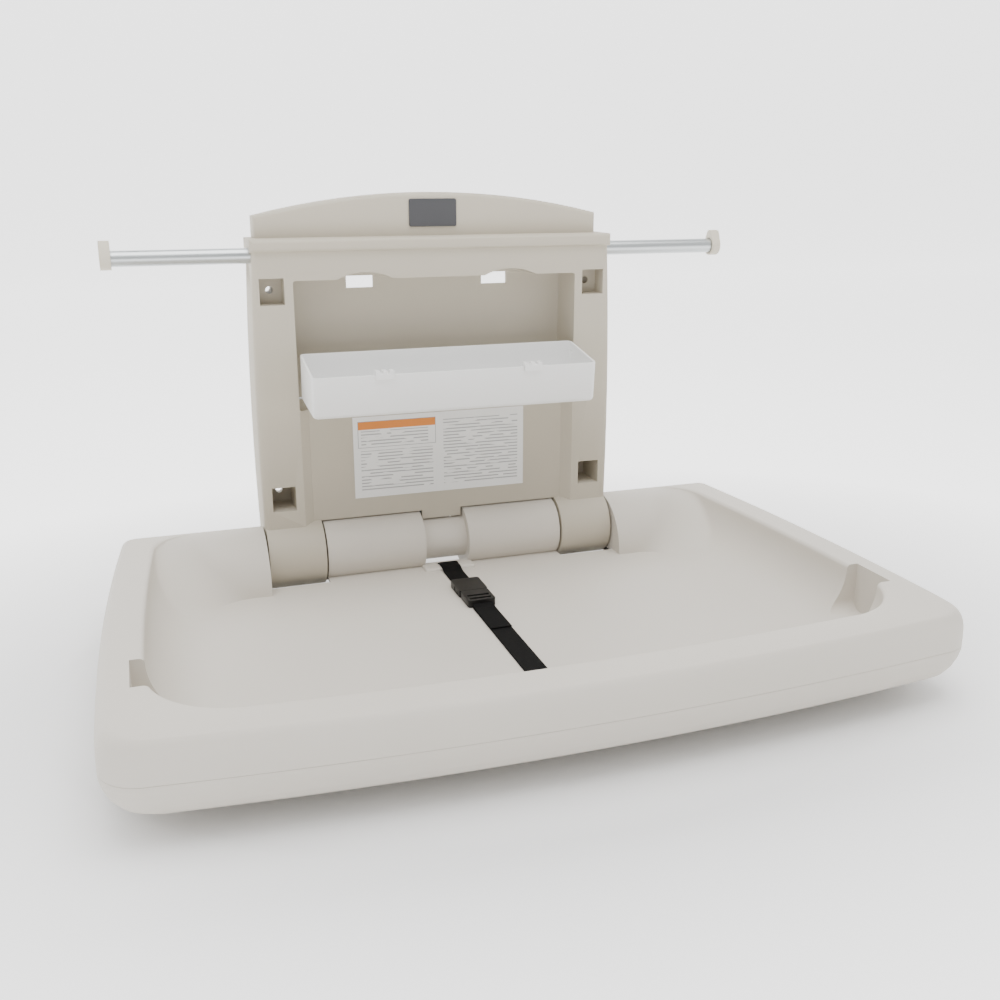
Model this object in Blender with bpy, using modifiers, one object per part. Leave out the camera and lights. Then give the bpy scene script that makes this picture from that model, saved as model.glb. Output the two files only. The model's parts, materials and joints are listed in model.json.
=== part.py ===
"""Wall-mounted changing table whose bed folds up against its back panel.

The wall is the plane Y = 0 and the bed folds out towards -Y. The origin is on the wall, in the middle of the
width, at the height of the hinge line. Lengths are in metres.
"""

import math

import bmesh
import bpy
import numpy as np
from mathutils import Matrix, Vector

# Clearances
GAP = 0.0003  # between two pieces that touch
HINGE_GAP = 0.0025  # between bed and panel along the hinge line
SKIN = 0.004  # wall of the back panel
BED_SKIN = 0.003  # wall of the two bed shells

# Hinge line
HINGE_Y = -0.041
AXLE_RADIUS = 0.008
BUSH_WALL = 0.004
PANEL_KNUCKLE_RADIUS = 0.043
BED_KNUCKLE_RADIUS = 0.040
CHANNEL_RADIUS = 0.028
PANEL_KNUCKLE_INNER_X = 0.158
PANEL_KNUCKLE_OUTER_X = 0.228
CHANNEL_HALF_WIDTH = 0.029
CHANNEL_SWEEP_DEG = (97, 248)  # from straight up, round the front, to under the hinge

# Bed
BED_HALF_WIDTH = 0.4225
BED_REAR_HALF_WIDTH = 0.400
BED_WIDEST_Y = -0.445
BED_REAR_Y = -0.0344
BED_FRONT_Y = -0.580
BED_FRONT_BOW = 0.019  # set-back of the front edge at BOW_AT_X
BOW_AT_X = 0.360
BED_CORNER_RADIUS = 0.058
BED_REAR_CORNER_RADIUS = 0.008
RIM_Z = 0.0385
FLOOR_Z = -0.029
PARTING_Z = 0.002
BASE_DEPTH = 0.061
RIM_ROUND_SIDE = 0.021
RIM_ROUND_FRONT = 0.015
BASIN_SIDE_INSET = 0.0435
BASIN_FRONT_INSET = 0.051
BASIN_REAR_INSET = 0.0106
BASIN_SIDE_SLOPE = 0.060
BASIN_FRONT_SLOPE = 0.035
BASIN_REAR_SLOPE = 0.065
BASIN_CORNER_RADIUS = 0.090
BASE_REAR_SHARE = 0.5  # how much of the base's rounding its rear edge takes
# Inset and depth along the base's rounded edge, from the parting line inwards
BASE_EDGE = (
    (0.0, 0.0),
    (0.0, 0.004),
    (0.0015, 0.012),
    (0.005, 0.022),
    (0.010, 0.030),
    (0.018, 0.036),
    (0.028, 0.040),
)
BASE_DOME_REACH = 0.300

# Back panel
RAIL_FRONT_Y = -0.060
PANEL_TOP_HALF_WIDTH = 0.224
PANEL_MID_HALF_WIDTH = 0.230
PANEL_EDGE_RADIUS = 0.005
LEDGE_LOW_Z = 0.374
LEDGE_HIGH_Z = 0.389
LEDGE_FRONT_Y = -0.065
LEDGE_HALF_WIDTH = 0.226
ARCH_FRONT_Y = -0.032
ARCH_HALF_WIDTH = 0.217
ARCH_CORNER_Z = 0.414
ARCH_PEAK_Z = 0.440
RECESS_HALF_WIDTH = 0.1786
RECESS_TOP_Z = 0.341
RECESS_STEP_Z = 0.185
LABEL_FACE_Y = -0.050
LABEL_SLOPE_WIDTH = 0.012
TAB_HALF_WIDTH = 0.026
TAB_LOW_Z = 0.030
POCKET_X = 0.2032
POCKET_UPPER_Z = 0.329
POCKET_LOWER_Z = 0.076
POCKET_WIDTH = 0.029
POCKET_HEIGHT = 0.031
POCKET_UPPER_FLOOR_Y = -0.034
POCKET_LOWER_FLOOR_Y = -0.010
BOLT_HOLE_RADIUS = 0.0045
SLOT_X = 0.088
SLOT_Z = 0.333
SLOT_WIDTH = 0.034
SLOT_HEIGHT = 0.015
LIP_CUT_X = 0.092
LIP_CUT_WIDTH = 0.068
LIP_CUT_RISE = 0.008
HOLLOW_LOW_Z = 0.050
WALL_PLATE_HALF_WIDTH = 0.024
WALL_PLATE_THICK = 0.003
WALL_PLATE_LOW_Z = -0.022

# Bar
BAR_RADIUS = 0.009
BAR_Y = -0.044
BAR_Z = 0.370
BAR_HALF_LENGTH = 0.384
CAP_HALF_SPAN = 0.389
CAP_LENGTH = 0.012
CAP_RADIUS = 0.0125
CAP_HOOK_RISE = 0.020
SADDLE_X = 0.150
SADDLE_WIDTH = 0.020

# Side notches of the bed, which clear the bar and its caps when the bed is up
NOTCH_REACH = 0.013
NOTCH_NEAR_MARGIN = 0.0165
NOTCH_FAR_MARGIN = 0.041
NOTCH_CORNER_RADIUS = 0.012
NOTCH_OUTER_X = CAP_HALF_SPAN + 0.003
NOTCH_WALL = 0.004

# Bin
BIN_PIVOT_Y = -0.0580
BIN_PIVOT_Z = 0.2015
BIN_HALF_WIDTH = 0.175
BIN_REACH = 0.082
BIN_BEHIND_PIVOT = 0.0045
BIN_BELOW_PIVOT = 0.0045
BIN_REAR_HEIGHT = 0.0575
BIN_FRONT_HEIGHT = 0.0495
BIN_WALL = 0.0025
BIN_CORNER_RADIUS = 0.006
BIN_DROOP_DEG = 5.0
BIN_PIN_RADIUS = 0.0014
CLIP_X = 0.091

# Strap and buckle
STRAP_WIDTH = 0.025
STRAP_THICK = 0.0015
STRAP_SLOT_Y = -0.0745
STRAP_FRONT_SLOT_Y = -0.470
PAD_HALF_WIDTH = 0.0335
PAD_FRONT_Y = -0.092
PAD_RISE = 0.0035
BUCKLE_REAR_Y = -0.150
BUCKLE_JOIN_Y = -0.190
BUCKLE_FRONT_Y = -0.224
BUCKLE_HALF_WIDTH = 0.018
BUCKLE_HEIGHT = 0.009
STRAP_TAIL_END_Y = -0.294

# Fasteners and stiffeners inside the bed
ARM_X = 0.100
ARM_WIDTH = 0.025
ARM_TOP_Z = -0.034
ARM_HEIGHT = 0.006
ARM_END_Y = -0.428
CROSS_BAR_DEPTH = 0.020
CROSS_BAR_HALF_LENGTH = 0.300
SCREW_INSET = 0.031  # from the bed's edge, where the base is nearly flat
SCREW_FRONT_X = 0.250
SCREW_SIDE_YS = (-0.180, -0.330)
SCREW_HEAD_RADIUS = 0.004
SCREW_HEAD_HEIGHT = 0.0012
SCREW_SINK = 0.0014  # depth of the seat that each head sits in
SCREW_RADIUS = 0.002

PARTS = bpy.data.collections.new("changing_table")
CUTTERS = bpy.data.collections.new("cutters")


# ---------------------------------------------------------------- helpers


def clear_scene():
    for obj in list(bpy.data.objects):
        bpy.data.objects.remove(obj, do_unlink=True)
    bpy.context.scene.collection.children.link(PARTS)
    bpy.context.scene.collection.children.link(CUTTERS)


def finish_material(name, colour, roughness, metallic=0.0):
    material = bpy.data.materials.new(name)
    material.use_nodes = True
    shader = material.node_tree.nodes["Principled BSDF"]
    shader.inputs["Base Color"].default_value = (*colour, 1.0)
    shader.inputs["Roughness"].default_value = roughness
    shader.inputs["Metallic"].default_value = metallic
    return material


def add(name, mesh, material=None):
    """A mesh as a part, or as a cutter where it has no material."""
    obj = bpy.data.objects.new(name, mesh)
    if material is None:
        CUTTERS.objects.link(obj)
        obj.hide_render = True
        obj.display_type = "WIRE"
    else:
        PARTS.objects.link(obj)
        mesh.materials.clear()
        mesh.materials.append(material)
    return obj


def mesh_of(name, build):
    """A mesh made by build(bm)."""
    mesh = bpy.data.meshes.new(name)
    bm = bmesh.new()
    build(bm)
    bm.to_mesh(mesh)
    bm.free()
    return mesh


def box_mesh(name, low, high, radius=0.0, rounded=None, segments=3):
    """A box between two corners. rounded(edge) picks the edges that take the radius."""

    def build(bm):
        size = [b - a for a, b in zip(low, high)]
        middle = [(a + b) / 2 for a, b in zip(low, high)]
        place = Matrix.Translation(middle) @ Matrix.Diagonal((*size, 1.0))
        bmesh.ops.create_cube(bm, size=1.0, matrix=place)
        round_edges(bm, radius, rounded, segments)

    return mesh_of(name, build)


def round_edges(bm, radius, rounded, segments):
    if radius > 0:
        edges = [edge for edge in bm.edges if rounded is None or rounded(edge)]
        bmesh.ops.bevel(bm, geom=edges, offset=radius, segments=segments, profile=0.5, affect="EDGES")


def rod_mesh(name, start, end, radius, sides=20):
    """A cylinder from start to end."""

    def build(bm):
        axis = Vector(end) - Vector(start)
        place = Matrix.Translation((Vector(start) + Vector(end)) / 2)
        place = place @ axis.to_track_quat("Z", "Y").to_matrix().to_4x4()
        bmesh.ops.create_cone(
            bm, cap_ends=True, segments=sides, radius1=radius, radius2=radius, depth=axis.length, matrix=place
        )

    return mesh_of(name, build)


def plate_mesh(name, outline, axis, low, high, radius=0.0, rounded=None, segments=3):
    """A flat outline carried along X or Y from low to high. The outline is (y, z) for X and (x, z) for Y."""
    curve = bpy.data.curves.new(name, "CURVE")
    curve.dimensions = "2D"
    curve.fill_mode = "BOTH"
    curve.extrude = (high - low) / 2
    spline = curve.splines.new("POLY")
    spline.points.add(len(outline) - 1)
    for point, (u, v) in zip(spline.points, outline):
        point.co = (u, v, 0.0, 1.0)
    spline.use_cyclic_u = True
    holder = bpy.data.objects.new(name, curve)
    CUTTERS.objects.link(holder)
    graph = bpy.context.evaluated_depsgraph_get()
    mesh = bpy.data.meshes.new_from_object(holder.evaluated_get(graph))
    bpy.data.objects.remove(holder, do_unlink=True)
    middle = (low + high) / 2
    if axis == "X":
        place = Matrix(((0, 0, 1, middle), (1, 0, 0, 0), (0, 1, 0, 0), (0, 0, 0, 1)))
    else:
        place = Matrix(((1, 0, 0, 0), (0, 0, -1, middle), (0, 1, 0, 0), (0, 0, 0, 1)))
    bm = bmesh.new()
    bm.from_mesh(mesh)
    bmesh.ops.remove_doubles(bm, verts=bm.verts, dist=0.00001)
    bmesh.ops.transform(bm, matrix=place, verts=bm.verts)
    bmesh.ops.dissolve_limit(bm, angle_limit=0.0005, verts=bm.verts, edges=bm.edges)
    bmesh.ops.recalc_face_normals(bm, faces=bm.faces)
    round_edges(bm, radius, rounded, segments)
    bm.to_mesh(mesh)
    bm.free()
    return mesh


def arc(centre, radius, start_deg, end_deg, steps):
    """Points on an arc, both ends included."""
    angles = np.radians(np.linspace(start_deg, end_deg, steps + 1))
    return [(centre[0] + radius * math.cos(a), centre[1] + radius * math.sin(a)) for a in angles]


def boolean(target, mesh, operation, inside=None):
    """Adds a live Boolean. With inside, the tool is first trimmed to that object."""
    tool = add(f"{target.name}_{mesh.name}", mesh)
    if inside is not None:
        trim = tool.modifiers.new("trim", "BOOLEAN")
        trim.operation = "INTERSECT"
        trim.object = inside
    modifier = target.modifiers.new(mesh.name, "BOOLEAN")
    modifier.operation = operation
    modifier.object = tool
    return tool


def cut(target, mesh, inside=None):
    return boolean(target, mesh, "DIFFERENCE", inside)


def join(target, mesh, inside=None):
    return boolean(target, mesh, "UNION", inside)


def smooth(obj, angle_deg=35):
    obj.data.shade_smooth()
    obj.data.set_sharp_from_angle(angle=math.radians(angle_deg))


def span(side, near, far):
    """The X range of something that lies between near and far from the middle, on one side."""
    return sorted((side * near, side * far))


SIDES = (("left", -1), ("right", 1))
BED_STARTS = ("bed_", "hinge_axle", "hinge_arm", "cross_bar", "strap_", "buckle_", "base_screw")
BIN_PIECES = ("bin", "bin_clip_left", "bin_clip_right")


# ---------------------------------------------------------------- bed outline


def side_half_width(y):
    """The bed's half width swells from the rear to its widest place, as a parabola."""
    share = (y - BED_WIDEST_Y) / (BED_REAR_Y - BED_WIDEST_Y)
    return BED_HALF_WIDTH - (BED_HALF_WIDTH - BED_REAR_HALF_WIDTH) * share**2


def front_y(x):
    """The bed's front edge bows, as a parabola."""
    return BED_FRONT_Y + BED_FRONT_BOW * (x / BOW_AT_X) ** 2


def plan_ring(side_inset, front_inset, rear_inset, front_radius, rear_radius):
    """One closed ring of (x, y), and for each point how far it belongs to the rear edge, from 0 to 1.

    Every ring has the same count: straight rear edge, small arc, swelling side, arc, bowed front, then the same
    mirrored.
    """
    rear_y = BED_REAR_Y - rear_inset
    rear_x = side_half_width(rear_y - rear_radius) - side_inset - rear_radius
    corner_x = side_half_width(BED_FRONT_Y + front_radius) - side_inset - front_radius
    corner_y = front_y(corner_x) + front_inset + front_radius
    half = [(x, rear_y, 1.0) for x in np.linspace(0.0, rear_x, 7)[:-1]]
    for step, (x, y) in enumerate(arc((rear_x, rear_y - rear_radius), rear_radius, 90, 0, 4)):
        half.append((x, y, 1.0 - step / 4))
    for y in np.linspace(rear_y - rear_radius, corner_y, 9)[1:-1]:
        half.append((side_half_width(y) - side_inset, y, 0.0))
    # The arc ends on the bowed front edge, so its last points slide along with the bow.
    for x, y in arc((corner_x, corner_y), front_radius, 0, -90, 7):
        half.append((x, y, 0.0))
    for x in np.linspace(corner_x, 0.0, 7)[1:]:
        half.append((x, front_y(x) + front_inset, 0.0))
    mirrored = [(-x, y, w) for x, y, w in half[-2:0:-1]]
    ring = np.array(half + mirrored)
    return ring[:, :2], ring[:, 2]


def loft(bm, rings, close_start=False, close_end=True):
    """Quads between rings of the same count, each ring an array of (x, y, z)."""
    rows = [[bm.verts.new(point) for point in ring] for ring in rings]
    for upper, lower in zip(rows, rows[1:]):
        count = len(upper)
        for i in range(count):
            j = (i + 1) % count
            bm.faces.new((upper[i], upper[j], lower[j], lower[i]))
    if close_start:
        bm.faces.new(rows[0][::-1])
    if close_end:
        bm.faces.new(rows[-1])


def shell_mesh(name, rings, outward_z):
    """An open surface through the rings, whose last face closes it and looks up (1) or down (-1)."""

    def build(bm):
        loft(bm, rings)
        bm.normal_update()
        bm.faces.ensure_lookup_table()
        if bm.faces[-1].normal.z * outward_z < 0:
            bmesh.ops.reverse_faces(bm, faces=bm.faces)
        bmesh.ops.triangulate(bm, faces=bm.faces)

    return mesh_of(name, build)


def tray_rings():
    """Rings of the tray: up the outer wall, over the rounded rim, down the hollow wall and on to the floor."""
    rings = []
    # Outer wall and rim: (share of the rim's rounding, height)
    for angle in (0, 15, 30, 45, 60, 75, 90):
        turn = math.radians(angle)
        share = (1 - math.cos(turn)) ** 1.4
        z = PARTING_Z + (RIM_Z - PARTING_Z) * math.sin(turn) ** 0.8
        ring, _ = plan_ring(
            RIM_ROUND_SIDE * share, RIM_ROUND_FRONT * share, 0.006 * share, BED_CORNER_RADIUS, BED_REAR_CORNER_RADIUS
        )
        rings.append(np.column_stack([ring, np.full(len(ring), z)]))
    # Basin wall: hollow at the sides and front, swelling at the rear
    for angle in (0, 11, 24, 38, 52, 66, 78, 90):
        turn = math.radians(angle)
        hollow = 1 - math.cos(turn)
        ring, rear = plan_ring(
            BASIN_SIDE_INSET + BASIN_SIDE_SLOPE * hollow,
            BASIN_FRONT_INSET + BASIN_FRONT_SLOPE * hollow,
            BASIN_REAR_INSET + BASIN_REAR_SLOPE * math.sin(turn),
            BASIN_CORNER_RADIUS,
            0.020 + 0.030 * math.sin(turn),
        )
        fall = RIM_Z - FLOOR_Z
        z = RIM_Z - fall * ((1 - rear) * math.sin(turn) + rear * hollow)
        rings.append(np.column_stack([ring, z]))
    return rings


def base_rings():
    """Rings of the bottom shell: from the parting line down, round the bottom edge and over the shallow dome."""
    rings = []
    inset_end, depth_end = BASE_EDGE[-1]
    dome = tuple(
        (inset_end + BASE_DOME_REACH * s, depth_end + (BASE_DEPTH - depth_end) * (1 - (1 - s) ** 2))
        for s in (0.12, 0.26, 0.45, 0.7, 1.0)
    )
    for inset, depth in BASE_EDGE + dome:
        ring, _ = plan_ring(
            inset,
            inset,
            inset * BASE_REAR_SHARE,
            max(BED_CORNER_RADIUS - 0.1 * inset, 0.020),
            BED_REAR_CORNER_RADIUS,
        )
        z = PARTING_Z - GAP - depth
        rings.append(np.column_stack([ring, np.full(len(ring), z)]))
    return rings


def solidify(obj, thickness):
    modifier = obj.modifiers.new("wall", "SOLIDIFY")
    modifier.thickness = thickness
    modifier.offset = -1.0
    modifier.use_even_offset = True


# ---------------------------------------------------------------- back panel


def panel_half_width(z):
    """The panel's sides bow: a parabola through the top, middle and bottom half widths."""
    middle_z = LEDGE_LOW_Z / 2
    low, mid, high = PANEL_KNUCKLE_OUTER_X, PANEL_MID_HALF_WIDTH, PANEL_TOP_HALF_WIDTH
    u = (z - middle_z) / middle_z
    return mid + (high - low) / 2 * u + ((high + low) / 2 - mid) * u**2


def panel_outline(inset, low_z, high_z):
    heights = np.linspace(low_z, high_z, 9)
    right = [(panel_half_width(z) - inset, z) for z in heights]
    return right + [(-x, z) for x, z in right[::-1]]


def faces_front(edge, y):
    return all(abs(vert.co.y - y) < 1e-6 for vert in edge.verts)


def back_panel(material):
    mesh = plate_mesh(
        "back_panel",
        panel_outline(0.0, 0.0, LEDGE_LOW_Z + 0.002),
        "Y",
        RAIL_FRONT_Y,
        0.0,
        PANEL_EDGE_RADIUS,
        lambda edge: faces_front(edge, RAIL_FRONT_Y) and abs(edge.verts[0].co.z - edge.verts[1].co.z) > 0.01,
    )
    panel = add("back_panel", mesh, material)
    join(
        panel,
        box_mesh(
            "ledge",
            (-LEDGE_HALF_WIDTH, LEDGE_FRONT_Y, LEDGE_LOW_Z),
            (LEDGE_HALF_WIDTH, -GAP / 10, LEDGE_HIGH_Z),
            PANEL_EDGE_RADIUS,
            lambda edge: faces_front(edge, LEDGE_FRONT_Y),
        ),
    )
    rise = ARCH_PEAK_Z - ARCH_CORNER_Z
    radius = (ARCH_HALF_WIDTH**2 + rise**2) / (2 * rise)
    sweep = math.degrees(math.asin(ARCH_HALF_WIDTH / radius))
    hood = [(ARCH_HALF_WIDTH, LEDGE_LOW_Z + 0.004)]
    hood += arc((0.0, ARCH_PEAK_Z - radius), radius, 90 - sweep, 90 + sweep, 16)
    hood += [(-ARCH_HALF_WIDTH, LEDGE_LOW_Z + 0.004)]
    join(
        panel,
        plate_mesh(
            "hood",
            hood,
            "Y",
            ARCH_FRONT_Y,
            -GAP / 5,
            PANEL_EDGE_RADIUS,
            lambda edge: faces_front(edge, ARCH_FRONT_Y),
        ),
    )
    cut(panel, label_recess())
    for name, side in SIDES:
        low, high = span(side, PANEL_KNUCKLE_INNER_X, PANEL_KNUCKLE_OUTER_X)
        outline = arc((HINGE_Y, 0.0), PANEL_KNUCKLE_RADIUS, 90, 270, 16)
        outline += [(-0.006, -PANEL_KNUCKLE_RADIUS), (-GAP / 3, -PANEL_KNUCKLE_RADIUS + 0.008)]
        outline += [(-GAP / 3, PANEL_KNUCKLE_RADIUS)]
        join(panel, plate_mesh(f"knuckle_{name}", outline, "X", low, high))
    # Room for the bed's knuckles, and the tab that hangs between them
    inner = PANEL_KNUCKLE_INNER_X
    room = BED_KNUCKLE_RADIUS + HINGE_GAP
    gap_outline = arc((HINGE_Y, 0.0), room, 0, 180, 20)
    gap_outline += [(HINGE_Y - room, -0.060), (0.010, -0.060), (0.010, 0.0)]
    for name, side in SIDES:
        low, high = span(side, TAB_HALF_WIDTH, inner)
        cut(panel, plate_mesh(f"knuckle_room_{name}", gap_outline, "X", low, high))
    tab_room = [(RAIL_FRONT_Y - 0.02, TAB_LOW_Z), (LABEL_FACE_Y + 0.004, TAB_LOW_Z)]
    tab_room += [(LABEL_FACE_Y + 0.004, room), (0.010, room), (0.010, -0.060), (RAIL_FRONT_Y - 0.02, -0.060)]
    cut(panel, plate_mesh("tab_room", tab_room, "X", -TAB_HALF_WIDTH - 0.001, TAB_HALF_WIDTH + 0.001))
    plate = WALL_PLATE_HALF_WIDTH + GAP
    cut(panel, box_mesh("plate_slot", (-plate, -WALL_PLATE_THICK - GAP, 0.0), (plate, 0.02, HOLLOW_LOW_Z + 0.01)))
    panel_recesses(panel)
    panel_hollow(panel)
    for name, side in SIDES:
        low, high = span(side, RECESS_HALF_WIDTH - 0.001, RECESS_HALF_WIDTH + 0.014)
        pin_hole = rod_mesh(
            f"pin_hole_{name}",
            (low, BIN_PIVOT_Y, BIN_PIVOT_Z),
            (high, BIN_PIVOT_Y, BIN_PIVOT_Z),
            BIN_PIN_RADIUS + GAP,
            12,
        )
        cut(panel, pin_hole)
        low, high = span(side, PANEL_KNUCKLE_INNER_X - 0.001, PANEL_KNUCKLE_OUTER_X - 0.004)
        bush_hole = rod_mesh(
            f"bush_hole_{name}", (low, HINGE_Y, 0), (high, HINGE_Y, 0), AXLE_RADIUS + BUSH_WALL + 2 * GAP, 20
        )
        cut(panel, bush_hole)
    bar_hole = rod_mesh("bar_hole", (-0.25, BAR_Y, BAR_Z), (0.25, BAR_Y, BAR_Z), BAR_RADIUS + GAP, 16)
    cut(panel, bar_hole)
    smooth(panel)
    return panel


def label_recess():
    """The shallow recess behind the label, whose sides slope in from the rails."""
    front = RAIL_FRONT_Y - 0.02
    slope = LABEL_SLOPE_WIDTH / (LABEL_FACE_Y - RAIL_FRONT_Y)
    low = (-RECESS_HALF_WIDTH, front, -0.010)
    mesh = box_mesh("label_recess", low, (RECESS_HALF_WIDTH, LABEL_FACE_Y, RECESS_STEP_Z + 0.01))
    for vert in mesh.vertices:
        half = RECESS_HALF_WIDTH - slope * (vert.co.y - RAIL_FRONT_Y)
        vert.co.x = math.copysign(half, vert.co.x)
    return mesh


def panel_recesses(panel):
    """The deep recess that takes the folded bin, the slots, lip cut-outs and screw pockets."""
    deep = box_mesh(
        "deep_recess",
        (-RECESS_HALF_WIDTH, RAIL_FRONT_Y - 0.02, RECESS_STEP_Z),
        (RECESS_HALF_WIDTH, -SKIN, RECESS_TOP_Z),
        0.003,
        lambda edge: faces_front(edge, -SKIN) or abs(edge.verts[0].co.y - edge.verts[1].co.y) > 0.01,
        2,
    )
    cut(panel, deep)
    for name, side in SIDES:
        x = side * SLOT_X
        slot = box_mesh(
            f"slot_{name}",
            (x - SLOT_WIDTH / 2, -0.010, SLOT_Z - SLOT_HEIGHT / 2),
            (x + SLOT_WIDTH / 2, 0.010, SLOT_Z + SLOT_HEIGHT / 2),
        )
        cut(panel, slot)
        half = LIP_CUT_WIDTH / 2
        lip_radius = (half**2 + LIP_CUT_RISE**2) / (2 * LIP_CUT_RISE)
        lip_sweep = math.degrees(math.asin(half / lip_radius))
        crown = arc(
            (side * LIP_CUT_X, RECESS_TOP_Z + LIP_CUT_RISE - lip_radius),
            lip_radius,
            90 - lip_sweep,
            90 + lip_sweep,
            10,
        )
        crown += [(side * LIP_CUT_X - half, RECESS_TOP_Z - 0.005), (side * LIP_CUT_X + half, RECESS_TOP_Z - 0.005)]
        cut(panel, plate_mesh(f"lip_cut_{name}", crown, "Y", RAIL_FRONT_Y - 0.01, -0.010))
        for level, z, floor_y in (
            ("upper", POCKET_UPPER_Z, POCKET_UPPER_FLOOR_Y),
            ("lower", POCKET_LOWER_Z, POCKET_LOWER_FLOOR_Y),
        ):
            x = side * POCKET_X
            pocket = box_mesh(
                f"pocket_{level}_{name}",
                (x - POCKET_WIDTH / 2, RAIL_FRONT_Y - 0.01, z - POCKET_HEIGHT / 2),
                (x + POCKET_WIDTH / 2, floor_y, z + POCKET_HEIGHT / 2),
            )
            cut(panel, pocket)
            hole = rod_mesh(f"bolt_hole_{level}_{name}", (x, floor_y - 0.01, z), (x, 0.01, z), BOLT_HOLE_RADIUS, 16)
            cut(panel, hole)


def panel_hollow(panel):
    """The space behind the front skin, left solid round the recess and the screw pockets."""
    hollow = add(
        "hollow",
        plate_mesh("hollow", panel_outline(SKIN, HOLLOW_LOW_Z, LEDGE_HIGH_Z - SKIN), "Y", RAIL_FRONT_Y + SKIN, 0.01),
    )
    keep = []
    keep.append(
        box_mesh(
            "recess_wall",
            (-RECESS_HALF_WIDTH - SKIN, -0.1, RECESS_STEP_Z - SKIN),
            (RECESS_HALF_WIDTH + SKIN, 0.1, RECESS_TOP_Z + LIP_CUT_RISE + 0.003),
        )
    )
    keep.append(
        box_mesh(
            "label_wall",
            (-RECESS_HALF_WIDTH - SKIN, -0.1, 0.0),
            (RECESS_HALF_WIDTH + SKIN, LABEL_FACE_Y + SKIN, RECESS_STEP_Z),
        )
    )
    for name, side in SIDES:
        for level, z in (("upper", POCKET_UPPER_Z), ("lower", POCKET_LOWER_Z)):
            x = side * POCKET_X
            reach = (POCKET_WIDTH / 2 + 0.003, POCKET_HEIGHT / 2 + 0.003)
            keep.append(
                box_mesh(
                    f"boss_{level}_{name}", (x - reach[0], -0.1, z - reach[1]), (x + reach[0], 0.1, z + reach[1])
                )
            )
    for mesh in keep:
        boolean(hollow, mesh, "DIFFERENCE")
    modifier = panel.modifiers.new("hollow", "BOOLEAN")
    modifier.operation = "DIFFERENCE"
    modifier.object = hollow


# ---------------------------------------------------------------- bed shells


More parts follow.
